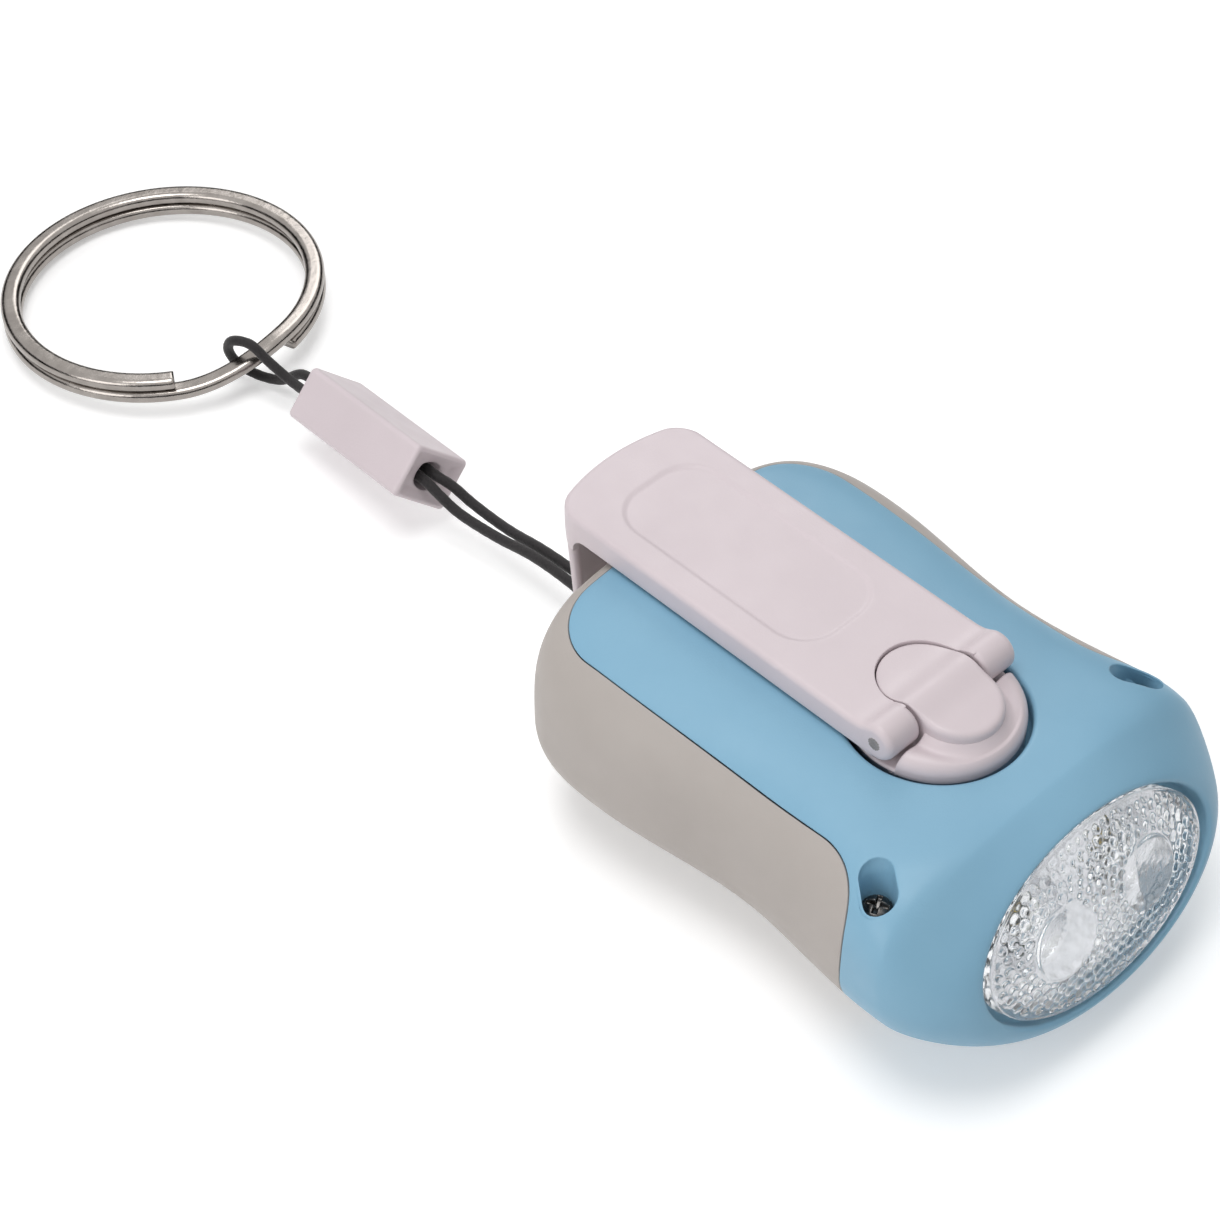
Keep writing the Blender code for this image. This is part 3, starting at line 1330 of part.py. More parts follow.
bobbin = add_object(
    "coil_bobbin",
    square(COIL_HALF_DEPTH, COIL_HALF_DEPTH, 0.6, -COIL_HALF_LENGTH, COIL_HALF_LENGTH),
    BLACK,
    coil_at,
)
flange_inner = COIL_HALF_LENGTH - BOBBIN_FLANGE
winding_room = loft(
    [
        [(x, y, z) for y, z in rounded_box_outline((-5.0, 5.0), (-5.0, 5.0), 0.6, 4)]
        for x in (-flange_inner, flange_inner)
    ]
)
cut(bobbin, "winding_room", winding_room, coil_at)
core = square(bar_half_y + BOBBIN_WALL, bar_half_z + BOBBIN_WALL, 0.3, -5.0, 5.0)
join(bobbin, "bobbin_core", core, coil_at)
cut(bobbin, "bobbin_bore", square(bar_half_y, bar_half_z, 0.1, -9.0, 9.0), coil_at)
winding_half = flange_inner - PRESS_GAP
winding = add_object(
    "coil_winding",
    square(COIL_HALF_DEPTH - 0.3, COIL_HALF_DEPTH - 0.3, 1.2, -winding_half, winding_half),
    COPPER,
    coil_at,
)
core_room = square(
    bar_half_y + BOBBIN_WALL + PRESS_GAP, bar_half_z + BOBBIN_WALL + PRESS_GAP, 0.2, -9.0, 9.0
)
cut(winding, "winding_bore", core_room, coil_at)

# Circuit board, cell with its two contacts, and the push switch under the board.
BOARD_TOP_Z = BOARD_Z + BOARD_THICKNESS
add_object(
    "circuit_board",
    prism(
        rounded_box_outline(
            (-BOARD_HALF_WIDTH, BOARD_HALF_WIDTH), (BOARD_FRONT_Y, BOARD_REAR_Y), 1.0, 3
        ),
        BOARD_Z,
        BOARD_TOP_Z,
    ),
    BOARD,
)
cell_shape = turned(
    [
        (0.0, 0.0),
        (CELL_RADIUS - 1.0, 0.0),
        (CELL_RADIUS - 0.7, 0.3),
        (CELL_RADIUS, 0.5),
        (CELL_RADIUS, CELL_THICKNESS - 0.2),
        (CELL_RADIUS - 0.2, CELL_THICKNESS),
        (0.0, CELL_THICKNESS),
    ],
    ROUND_POINTS - 12,
)
add_object("rechargeable_cell", cell_shape, STEEL, (0.0, CELL_Y, CELL_Z))
contact_half = CONTACT_WIDTH / 2.0
lower_contact_z = (BOARD_TOP_Z + CELL_Z) / 2.0 - CONTACT_THICKNESS / 2.0
add_object(
    "cell_contact_lower",
    box(
        (-CELL_RADIUS + 1.0, CELL_RADIUS - 1.0),
        (-contact_half, contact_half),
        (0.0, CONTACT_THICKNESS),
    ),
    STEEL,
    (0.0, CELL_Y, lower_contact_z),
)


def strap_outline():
    """A bent strap over the cell, seen along Y."""
    outer = CELL_RADIUS + SEAT_GAP + CONTACT_THICKNESS
    low = BOARD_TOP_Z + PRESS_GAP
    top = CELL_Z + CELL_THICKNESS + PRESS_GAP + CONTACT_THICKNESS
    inner = outer - CONTACT_THICKNESS
    under = top - CONTACT_THICKNESS
    right = [(outer, low), (outer, top - 0.4), (outer - 0.4, top)]
    inside = [(inner - 0.2, under), (inner, under - 0.2), (inner, low)]
    mirrored = [(-x, z) for x, z in right[::-1]] + [(-x, z) for x, z in inside[::-1]]
    return right + mirrored + inside


add_object(
    "cell_contact_upper",
    along_y(prism(strap_outline(), -contact_half, contact_half)),
    STEEL,
    (0.0, CELL_Y, 0.0),
)
switch_half = SWITCH_WIDTH / 2.0
switch_top_z = BOARD_Z - PRESS_GAP
push_switch = add_object(
    "push_switch",
    box((-switch_half, switch_half), (-switch_half, switch_half), (SWITCH_BOTTOM_Z, switch_top_z)),
    BLACK,
    (0.0, BUTTON_Y, 0.0),
)
PLUNGER_Z = BUTTON_FLANGE_Z + BUTTON_FLANGE_THICKNESS + PRESS_GAP
plunger_room = PLUNGER_Z + PLUNGER_LENGTH + BUTTON_TRAVEL + PRESS_GAP
cut(
    push_switch,
    "plunger_bore",
    rod(PLUNGER_RADIUS + SLIDE_GAP, 0.0, plunger_room),
    (0.0, BUTTON_Y, 0.0),
)
plunger_top = PLUNGER_Z + PLUNGER_LENGTH
add_object(
    "switch_plunger",
    rod(PLUNGER_RADIUS, PLUNGER_Z, plunger_top),
    BLACK,
    (0.0, BUTTON_Y, 0.0),
)
button_profile = [
    (0.0, BUTTON_BOTTOM_Z),
    (BUTTON_RADIUS - 0.3, BUTTON_BOTTOM_Z),
    (BUTTON_RADIUS, BUTTON_BOTTOM_Z + 0.3),
    (BUTTON_RADIUS, BUTTON_FLANGE_Z),
    (BUTTON_FLANGE_RADIUS, BUTTON_FLANGE_Z),
    (BUTTON_FLANGE_RADIUS, BUTTON_FLANGE_Z + BUTTON_FLANGE_THICKNESS),
    (0.0, BUTTON_FLANGE_Z + BUTTON_FLANGE_THICKNESS),
]
add_object(
    "push_button",
    turned(button_profile, SMALL_ROUND_POINTS + 8),
    PINK,
    (0.0, BUTTON_Y, 0.0),
)

# Leads from the coil to the board, and from the board to the LEDs.
lead_z = BOARD_TOP_Z + LEAD_RADIUS + 0.1
for name, side, look in (("led_lead_left", -1, BLACK), ("led_lead_right", 1, RED)):
    x = side * LED_LEAD_X
    add_tube(
        name,
        [
            (side * (BOARD_HALF_WIDTH - 0.7), BOARD_FRONT_Y + 3.0, lead_z),
            (x, BOARD_FRONT_Y, lead_z + 0.1),
            (x, 0.0, lead_z + 1.2),
            (x, -9.0, lead_z + 1.8),
            (side * (LED_BOARD_HALF_WIDTH - 0.7), board_rear_y + 0.3, LED_BOARD_BOTTOM_Z + 1.0),
        ],
        LEAD_RADIUS,
        look,
        1.6,
    )
for name, side in (("coil_lead_left", -1), ("coil_lead_right", 1)):
    x = side * (COIL_HALF_LENGTH - 1.4)
    start_y = YOKE_BAR_Y + COIL_HALF_DEPTH - 0.3 + 0.2 + LEAD_RADIUS
    add_tube(
        name,
        [
            (x, start_y, YOKE_Z + 1.6),
            (x, start_y + 0.7, YOKE_Z + 1.4),
            (x + side * 0.6, BOARD_FRONT_Y - 1.4, lead_z + 0.3),
            (x + side * 1.6, BOARD_FRONT_Y + 0.6, lead_z),
        ],
        LEAD_RADIUS,
        COPPER,
        0.8,
    )

# Cord knot inside the rear wall, then the cord: out, through the bead, round the ring.
CAVITY_REAR_Y = BODY_REAR_Y - REAR_WALL
knot_y = CAVITY_REAR_Y - SEAT_GAP - KNOT_RADIUS
knot_profile = [(0.0, -KNOT_RADIUS)]
for angle in range(-60, 61, 30):
    turn = math.radians(angle)
    knot_profile.append((KNOT_RADIUS * math.cos(turn), KNOT_RADIUS * math.sin(turn)))
knot_profile.append((0.0, KNOT_RADIUS))
add_object("cord_knot", turned(knot_profile, TINY_ROUND_POINTS), CORD, (0.0, knot_y, CORD_EXIT_Z))

BEAD_TURN = (
    Matrix.Rotation(math.radians(BEAD_YAW), 4, "Z")
    @ Matrix.Rotation(math.radians(BEAD_PITCH), 4, "X")
    @ Matrix.Rotation(math.radians(BEAD_ROLL), 4, "Y")
)
BEAD_AXIS = BEAD_TURN @ Vector((0.0, 1.0, 0.0))
bead_outline = rounded_box_outline(
    (-BEAD_WIDTH / 2.0, BEAD_WIDTH / 2.0), (-BEAD_HEIGHT / 2.0, BEAD_HEIGHT / 2.0), BEAD_ROUND, 3
)


def bead_bar():
    half = BEAD_LENGTH / 2.0
    small = [(x * 0.94, z * 0.94) for x, z in bead_outline]
    rings = [(small, -half), (bead_outline, -half + 0.3), (bead_outline, half - 0.3), (small, half)]
    return loft([[(x, y, z) for x, z in outline] for outline, y in rings])


bead = add_object("cord_bead", bead_bar(), PINK, BEAD_CENTRE, BEAD_TURN.to_euler())
cut(
    bead,
    "bead_bore",
    along_y(rod(BEAD_BORE_RADIUS, -BEAD_LENGTH, BEAD_LENGTH)),
    BEAD_CENTRE,
    BEAD_TURN.to_euler(),
)


def in_bead(along, across):
    """A point inside the bead's bore, across being level."""
    middle = Vector(BEAD_CENTRE) + BEAD_AXIS * along
    return tuple(middle + Vector((across, 0.0, 0.0)))


RING_HEIGHT = 2.0 * RING_COIL_HEIGHT + RING_COIL_GAP
RING_NEAR_Z = (
    RING_REST_Z
    + RING_HEIGHT / 2.0 * math.cos(math.radians(RING_TILT))
    + (2.0 * RING_RADIUS + RING_BAND / 2.0) * math.sin(math.radians(RING_TILT))
)
LOOP_RADIUS = 2.62
loop_top = RING_NEAR_Z + LOOP_RADIUS
loop_low = max(RING_NEAR_Z - LOOP_RADIUS, CORD_RADIUS + 0.1)
half = BEAD_LENGTH / 2.0
spread = 0.62
over_strand = [
    (-CORD_SPREAD, CAVITY_REAR_Y + 0.2, CORD_EXIT_Z),
    (-CORD_SPREAD, CAVITY_REAR_Y + 1.5, CORD_EXIT_Z),
    (-CORD_SPREAD, BODY_REAR_Y + 0.2, CORD_EXIT_Z),
    (-0.72, 28.0, 4.7),
    (-0.66, 33.0, 5.3),
    (-0.62, 38.0, 5.1),
    (-0.8, 43.0, 4.3),
    (-1.25, 47.5, 4.5),
    (-1.6, 49.6, 5.5),
    in_bead(-half, -spread),
    in_bead(-half / 2.0, -spread),
    in_bead(0.0, -spread),
    in_bead(half / 2.0, -spread),
    in_bead(half, -spread),
    in_bead(half + 4.4, -spread - 0.1),
    (-0.75, RING_NEAR_Y - 2.4, RING_NEAR_Z + 1.5),
    (-1.2, RING_NEAR_Y - 0.4, loop_top),
    (-1.75, RING_NEAR_Y + 1.7, RING_NEAR_Z + 2.05),
    (-1.6, RING_NEAR_Y + LOOP_RADIUS, RING_NEAR_Z + 0.2),
]
under_strand = [
    (-0.9, RING_NEAR_Y + 2.1, RING_NEAR_Z - 1.75),
    (0.1, RING_NEAR_Y + 0.3, loop_low),
    (0.85, RING_NEAR_Y - 1.9, loop_low + 0.35),
    in_bead(half + 4.4, spread + 0.1),
    in_bead(half, spread),
    in_bead(half / 2.0, spread),
    in_bead(0.0, spread),
    in_bead(-half / 2.0, spread),
    in_bead(-half, spread),
    (0.1, 49.6, 5.4),
    (0.55, 47.4, 4.4),
    (0.75, 43.0, 4.1),
    (0.7, 38.0, 4.9),
    (0.7, 33.0, 5.1),
    (0.74, 28.0, 4.6),
    (CORD_SPREAD, BODY_REAR_Y + 0.2, CORD_EXIT_Z),
    (CORD_SPREAD, CAVITY_REAR_Y + 1.5, CORD_EXIT_Z),
    (CORD_SPREAD, CAVITY_REAR_Y + 0.2, CORD_EXIT_Z),
]
add_tube("cord", over_strand + under_strand, CORD_RADIUS, CORD, 1.75)


def split_ring_shape():
    """Two flat coils of one wire, with a crossover and two cut ends."""
    rise = (RING_COIL_HEIGHT + RING_COIL_GAP) / 2.0
    half_band = RING_BAND / 2.0
    half_tall = RING_COIL_HEIGHT / 2.0
    edge = RING_EDGE
    section = [
        (half_band, -half_tall + edge),
        (half_band, half_tall - edge),
        (half_band - edge, half_tall),
        (-half_band + edge, half_tall),
        (-half_band, half_tall - edge),
        (-half_band, -half_tall + edge),
        (-half_band + edge, -half_tall),
        (half_band - edge, -half_tall),
    ]
    start = RING_CROSSOVER + RING_CROSSOVER_SPAN / 2.0
    end = RING_CROSSOVER + 720.0 - RING_CROSSOVER_SPAN / 2.0
    rings = []
    for angle in np.linspace(start, end, 80):
        across = (angle - (RING_CROSSOVER + 360.0)) / RING_CROSSOVER_SPAN + 0.5
        level = rise * (2.0 * float(smooth_step(across)) - 1.0)
        turn = math.radians(angle)
        ring = []
        for out, up in section:
            radius = RING_RADIUS + out
            place = (radius * math.cos(turn), radius * math.sin(turn) + RING_RADIUS, level + up)
            ring.append(place)
        rings.append(ring)
    return loft(rings)


add_object(
    "split_ring",
    split_ring_shape(),
    STEEL,
    (RING_X, RING_NEAR_Y, RING_NEAR_Z),
    (math.radians(-RING_TILT), 0.0, 0.0),
)
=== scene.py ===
import math

import bpy
import numpy as np
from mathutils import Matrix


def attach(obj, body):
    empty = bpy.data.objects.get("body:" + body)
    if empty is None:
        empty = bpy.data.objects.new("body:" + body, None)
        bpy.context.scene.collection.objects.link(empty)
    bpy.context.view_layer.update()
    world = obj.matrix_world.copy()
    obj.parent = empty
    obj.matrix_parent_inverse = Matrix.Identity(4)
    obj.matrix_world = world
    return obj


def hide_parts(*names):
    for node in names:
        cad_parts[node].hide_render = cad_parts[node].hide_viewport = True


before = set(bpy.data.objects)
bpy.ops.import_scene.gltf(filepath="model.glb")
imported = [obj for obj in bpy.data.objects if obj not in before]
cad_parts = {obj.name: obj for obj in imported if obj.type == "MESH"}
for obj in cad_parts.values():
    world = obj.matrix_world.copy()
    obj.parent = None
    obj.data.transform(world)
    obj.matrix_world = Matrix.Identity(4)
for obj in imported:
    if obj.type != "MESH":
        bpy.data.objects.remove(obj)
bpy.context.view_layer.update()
MM = 0.001

# %% [markdown]
# The camera comes first, because everything is seen through it. It looks down on the
# light from its front left. Its place is written as a direction and a distance from a
# point on the table, which is easier to adjust than three raw coordinates.
# %% Camera
VIEW_AZIMUTH = math.radians(-44.3)
VIEW_ELEVATION = math.radians(46.2)
VIEW_DISTANCE = 284.96
VIEW_TARGET = np.array([3.06, 31.98, 0.0])
LENS_MM = 92.98
SENSOR_MM = 36.0


def unit(vector):
    """v / |v| for one vector or for each row."""
    vector = np.asarray(vector, float)
    return vector / np.linalg.norm(vector, axis=-1, keepdims=True)


def aim(thing, place, target):
    """Turns an object's -Z axis from its place towards a target, with +Y up."""
    back = unit(np.asarray(place, float) - target)
    right = unit(np.cross([0.0, 0.0, 1.0], back))
    matrix = np.eye(4)
    matrix[:3, 0], matrix[:3, 1], matrix[:3, 2] = right, np.cross(back, right), back
    matrix[:3, 3] = np.asarray(place, float) * MM
    thing.matrix_world = matrix.T.tolist()


def link(thing):
    """Puts an object into the scene."""
    bpy.context.scene.collection.objects.link(thing)
    return thing


towards_camera = np.array(
    [
        math.sin(VIEW_AZIMUTH) * math.cos(VIEW_ELEVATION),
        -math.cos(VIEW_AZIMUTH) * math.cos(VIEW_ELEVATION),
        math.sin(VIEW_ELEVATION),
    ]
)
camera = link(bpy.data.objects.new("camera", bpy.data.cameras.new("camera")))
camera.data.lens = LENS_MM
camera.data.sensor_width = SENSOR_MM
camera.data.clip_start = 0.01
camera.data.clip_end = 20.0
aim(camera, VIEW_TARGET + towards_camera * VIEW_DISTANCE, VIEW_TARGET)
bpy.context.scene.camera = camera
print("camera", VIEW_DISTANCE, "mm from its target, lens", LENS_MM, "mm")

# %% [markdown]
# Two helpers carry the whole lesson. A *sheet* is a set of points on a grid with two
# triangles in each cell. *Trimming* keeps the part of a sheet where a field, a signed
# distance to some outline, is positive, and puts new points exactly on the outline. It
# does what a Boolean does, but it leaves a clean border, which the second helper rolls
# over into a wall, because a real moulding has no sharp edge.
# %% Sheets
def smooth_step(t):
    """3t^2 - 2t^3 between 0 and 1."""
    t = np.clip(t, 0.0, 1.0)
    return t * t * (3.0 - 2.0 * t)


def grid_triangles(rows, columns, wrap=False):
    """Two triangles for each cell of a grid; wrap joins the last column to the first."""
    r = np.arange(rows - 1)[:, None] * columns
    c = np.arange(columns if wrap else columns - 1)[None, :]
    a = (r + c).ravel()
    b = (r + (c + 1) % columns).ravel()
    return np.concatenate(
        [np.stack([a, b + columns, b], 1), np.stack([a, a + columns, b + columns], 1)]
    )


def edges_of(triangles):
    """Directed edges of all the triangles, three for each."""
    return np.concatenate([triangles[:, [0, 1]], triangles[:, [1, 2]], triangles[:, [2, 0]]])

# %% [markdown]
# Trimming works on the triangles that the line crosses. Each keeps its corners on the
# positive side and gets new points where the line cuts its edges. A corner that almost
# touches the line is moved on to it instead, so that no slivers are left over.
# %% Trimming
SNAP = 0.3


def trim(points, triangles, field):
    """Keeps the sheet where field > 0: a crossed edge is cut at f0 / (f0 - f1) of its
    length, and a point that is almost on the line is moved on to it instead.
    Returns points, triangles and a mask of the points that lie on the line."""
    points = points.copy()
    f = field.copy()
    pair = np.unique(np.sort(edges_of(triangles), axis=1), axis=0)
    pair = pair[f[pair[:, 0]] * f[pair[:, 1]] < 0.0]
    share = f[pair[:, 0]] / (f[pair[:, 0]] - f[pair[:, 1]])
    start, way = points[pair[:, 0]], points[pair[:, 1]] - points[pair[:, 0]]
    for column, near in ((0, share < SNAP), (1, share > 1.0 - SNAP)):
        points[pair[near, column]] = start[near] + way[near] * share[near, None]
        f[pair[near, column]] = 0.0
    open_pair = (f[pair[:, 0]] * f[pair[:, 1]]) < 0.0
    pair, share = pair[open_pair], share[open_pair]
    new = points[pair[:, 0]] + (points[pair[:, 1]] - points[pair[:, 0]]) * share[:, None]
    key = pair[:, 0] * len(points) + pair[:, 1]
    order = np.argsort(key)

    def cut_point(a, b):
        wanted = np.minimum(a, b) * len(points) + np.maximum(a, b)
        return len(points) + order[np.searchsorted(key[order], wanted)]

    s = np.sign(f)[triangles]
    above, below = (s > 0).sum(1), (s < 0).sum(1)
    flat = (above == 0) & (below == 0)
    kept = [triangles[(below == 0) & ~flat], triangles[flat & (field[triangles].sum(1) > 0)]]
    for turn in range(3):
        t = np.roll(triangles, -turn, axis=1)
        g = np.roll(s, -turn, axis=1)
        a, b, c = t[(above == 1) & (below == 2) & (g[:, 0] > 0)].T
        kept.append(np.stack([a, cut_point(a, b), cut_point(a, c)], 1))
        a, b, c = t[(above == 2) & (below == 1) & (g[:, 0] < 0)].T
        low, high = cut_point(a, b), cut_point(a, c)
        kept += [np.stack([low, b, c], 1), np.stack([low, c, high], 1)]
        half = (above == 1) & (below == 1) & (g[:, 0] == 0)
        a, b, c = t[half & (g[:, 1] > 0)].T
        kept.append(np.stack([a, b, cut_point(b, c)], 1))
        a, b, c = t[half & (g[:, 2] > 0)].T
        kept.append(np.stack([a, cut_point(b, c), c], 1))
    triangles = np.concatenate(kept)
    on_line = np.concatenate([f == 0.0, np.ones(len(new), bool)])
    points = np.concatenate([points, new])
    used, compact = np.unique(triangles, return_inverse=True)
    return points[used], compact.reshape(-1, 3), on_line[used]

# %% [markdown]
# The border is then carried on: a few rows bend it over along a curve, and the others
# go down a wall. A bevel would have to find this edge among thin trimmed triangles,
# while here the rows are simply added, and their spacing is chosen.
# %% Rolled edges
def normals_of(points, triangles):
    """Mean of the face normals round each point, weighted by area."""
    face = np.cross(
        points[triangles[:, 1]] - points[triangles[:, 0]],
        points[triangles[:, 2]] - points[triangles[:, 0]],
    )
    total = np.zeros_like(points)
    for k in range(3):
        np.add.at(total, triangles[:, k], face)
    return total / np.maximum(np.linalg.norm(total, axis=1, keepdims=True), 1e-12)


def border_of(triangles):
    """Directed edges that belong to one triangle only."""
    e = edges_of(triangles)
    key = np.sort(e, axis=1) @ np.array([1 << 32, 1])
    _, where, count = np.unique(key, return_index=True, return_counts=True)
    return e[where[count == 1]]


def roll_edge(points, triangles, on_line, roll, path, wall=None, steps=4):
    """Adds rows to the border that lies on the trim line. With b the direction out of
    the sheet and w the wall's direction, the first rows follow the curve
    P + (1 - (1-t)^2) roll b + t^2 roll w, and the rest go to P + roll (b + w) + each
    pair of path, measured along b and w."""
    border = border_of(triangles)
    border = border[on_line[border].all(axis=1)]
    n = normals_of(points, triangles)
    out = np.zeros_like(points)
    step = unit(points[border[:, 1]] - points[border[:, 0]])
    for k in range(2):
        np.add.at(out, border[:, k], np.cross(step, n[border[:, k]]))
    rim, local = np.unique(border, return_inverse=True)
    local = local.reshape(-1, 2)
    p, n, b = points[rim], n[rim], out[rim]
    b = unit(b - (b * n).sum(1, keepdims=True) * n)
    w = -n if wall is None else np.broadcast_to(unit(wall), p.shape)
    roll = np.broadcast_to(np.asarray(roll(p) if callable(roll) else roll, float), len(p))[:, None]
    rows = []
    for t in np.linspace(0.0, 1.0, steps + 1)[1:]:
        rows.append(p + roll * (1.0 - (1.0 - t) ** 2) * b + roll * t * t * w)
    if callable(path):
        rows += path(rows[-1], b)
    else:
        rows += [p + (roll + along) * b + (roll + down) * w for along, down in path]
    count = len(rim)
    base = np.concatenate([[0], len(points) + count * np.arange(len(rows))])
    whole = [triangles]
    for k in range(len(rows)):
        low = rim if k == 0 else base[k] + np.arange(count)
        high = base[k + 1] + np.arange(count)
        i, j = low[local[:, 0]], low[local[:, 1]]
        m, q = high[local[:, 0]], high[local[:, 1]]
        whole += [np.stack([j, i, m], 1), np.stack([j, m, q], 1)]
    return np.concatenate([points, *rows]), np.concatenate(whole)


def rolled(sheet, field, roll, path, wall=None, steps=4):
    """Trims a sheet where a field, given or made from the points, falls to the roll, and
    rolls the new border over as far as the field's own line."""
    points, triangles = sheet
    inside = field(points) if callable(field) else field
    points, triangles, line = trim(points, triangles, inside - roll)
    return roll_edge(points, triangles, line, roll, path, wall, steps)

# %% [markdown]
# Whole arrays go into a mesh at once, and millimetres become metres on the way. A thin
# skin gets its wall from a modifier. A finished piece is told its material, the body
# that it rides on, and the nodes of the model that it stands for.
# %% From arrays to pieces
def make_mesh(name, points, triangles):
    """A smooth object whose mesh has these points, in millimetres, and these faces."""
    mesh = bpy.data.meshes.new(name)
    mesh.vertices.add(len(points))
    mesh.vertices.foreach_set("co", (np.asarray(points) * MM).astype(np.float32).ravel())
    size = triangles.shape[1]
    mesh.loops.add(triangles.size)
    mesh.loops.foreach_set("vertex_index", triangles.astype(np.int32).ravel())
    mesh.polygons.add(len(triangles))
    mesh.polygons.foreach_set("loop_start", np.arange(0, triangles.size, size, dtype=np.int32))
    mesh.polygons.foreach_set("use_smooth", np.ones(len(triangles), bool))
    mesh.update(calc_edges=True)
    mesh.validate()
    return link(bpy.data.objects.new(name, mesh))


def join_shells(*shells):
    """Several (points, triangles) pairs as one."""
    points, triangles, offset = [], [], 0
    for p, t in shells:
        points.append(p)
        triangles.append(t + offset)
        offset += len(p)
    return np.concatenate(points), np.concatenate(triangles)


def thicken(thing, thickness):
    """Gives a sheet its wall on the inner side, with the same look on the rim."""
    wall = thing.modifiers.new("wall", "SOLIDIFY")
    wall.thickness = thickness * MM
    wall.offset = -1.0
    return thing


def finish_piece(thing, look, body, slot, *nodes):
    """Material, body and the nodes that the piece stands for; the slot is not used."""
    thing.data.materials.append(look)
    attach(thing, body)
    if nodes:
        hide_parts(*nodes)
    return thing


# %% [markdown]
# Shader nodes are made by their type's name, so short helpers keep the wiring readable.
# Every plastic here is moulded: its roughness drifts a little, and a fine grain from the
# tool shows as bump. Both come from noise in Object coordinates, so that nothing slides
# when a piece moves.
# %% Material helpers
def new_material(name, **sockets):
    """A Principled material; sockets are set by their labels, with _ for a space."""
    made = bpy.data.materials.new(name)
    made.use_nodes = True
    shader = made.node_tree.nodes["Principled BSDF"]
    for label, value in sockets.items():
        shader.inputs[label.replace("_", " ")].default_value = value
    return made, made.node_tree, shader


def add_node(tree, kind, inputs=None, **settings):
    """A node whose inputs are numbers or are wired to another node's output."""
    node = tree.nodes.new(kind)
    for label, value in settings.items():
        setattr(node, label, value)
    for label, value in (inputs or {}).items():
        if isinstance(value, bpy.types.NodeSocket):
            tree.links.new(value, node.inputs[label])
        else:
            node.inputs[label].default_value = value
    return node


def drive(tree, shader, **sockets):
    """Wires outputs to a shader's sockets, named by their labels, with _ for a space."""
    for label, value in sockets.items():
        tree.links.new(value, shader.inputs[label.replace("_", " ")])


def object_noise(tree, scale, detail=3.0, stretch=(1.0, 1.0, 1.0)):
    """Noise in the piece's own space; scale is in features for each metre."""
    where = add_node(tree, "ShaderNodeTexCoord").outputs["Object"]
    where = add_node(tree, "ShaderNodeMapping", {"Vector": where, "Scale": stretch})
    return add_node(
        tree,
        "ShaderNodeTexNoise",
        {"Vector": where.outputs["Vector"], "Scale": scale, "Detail": detail},
    ).outputs["Fac"]


def remap(tree, value, low, high, start=0.3, end=0.7):
    """A value from start..end turned into low..high."""
    return add_node(
        tree,
        "ShaderNodeMapRange",
        {"Value": value, "From Min": start, "From Max": end, "To Min": low, "To Max": high},
    ).outputs["Result"]


def blend(tree, share, one, two):
    """Mixes two colours by a share from 0 to 1."""
    node = add_node(tree, "ShaderNodeMix", {0: share, 6: one, 7: two}, data_type="RGBA")
    return node.outputs[2]


def bump(tree, height, distance):
    """Relief of this height, in metres, as a normal."""
    node = add_node(tree, "ShaderNodeBump", {"Height": height, "Distance": distance})
    return node.outputs["Normal"]


def rgb(red, green, blue):
    """A screen colour from 0 to 255 as the linear colour that a shader wants."""
    c = np.array([red, green, blue]) / 255.0
    c = np.where(c <= 0.04045, c / 12.92, ((c + 0.055) / 1.055) ** 2.4)
    return (*c.tolist(), 1.0)


MOULD_GRAIN = 0.00001


def two_tone(tree, shader, noise, one, two):
    """The base colour goes from one screen colour to the other with a noise."""
    share = remap(tree, noise, 0.0, 1.0)
    drive(tree, shader, Base_Color=blend(tree, share, rgb(*one), rgb(*two)))


def moulded_plastic(name, one, two, rough, level):
    """Satin plastic: slow drift of colour, cloudy roughness and a fine eroded grain."""
    made, tree, shader = new_material(name, Specular_IOR_Level=level)
    two_tone(tree, shader, object_noise(tree, 90.0, 4.0), one, two)
    patchy = object_noise(tree, 420.0, 3.0)
    drive(tree, shader, Roughness=remap(tree, patchy, rough - 0.05, rough + 0.06))
    fine = object_noise(tree, 5200.0, 2.0)
    drive(tree, shader, Normal=bump(tree, fine, MOULD_GRAIN))
    return made


def grained_look(name, noise, one, two, rough, relief=None, **sockets):
    """One noise drives the colour and the roughness. Relief is the height of the bump,
    after the scale and the detail of a noise of its own where it has one."""
    made, tree, shader = new_material(name, **sockets)
    grain = object_noise(tree, *noise)
    two_tone(tree, shader, grain, one, two)
    drive(tree, shader, Roughness=remap(tree, grain, *rough))
    if relief:
        fine = object_noise(tree, *relief[:-1]) if len(relief) > 1 else grain
        drive(tree, shader, Normal=bump(tree, fine, relief[-1]))
    return made

# %% [markdown]
# Three opaque plastics make the outside. Each has two close colours, written as they
# look on a screen, because a large face in one colour alone looks dead.
# %% Body plastics
blue_plastic = moulded_plastic("sky_blue_moulding", (127, 172, 198), (133, 178, 203), 0.42, 0.4)
grey_plastic = moulded_plastic("warm_grey_moulding", (174, 167, 162), (180, 173, 168), 0.5, 0.35)
pink_plastic = moulded_plastic("pale_pink_moulding", (209, 197, 201), (214, 202, 206), 0.4, 0.4)
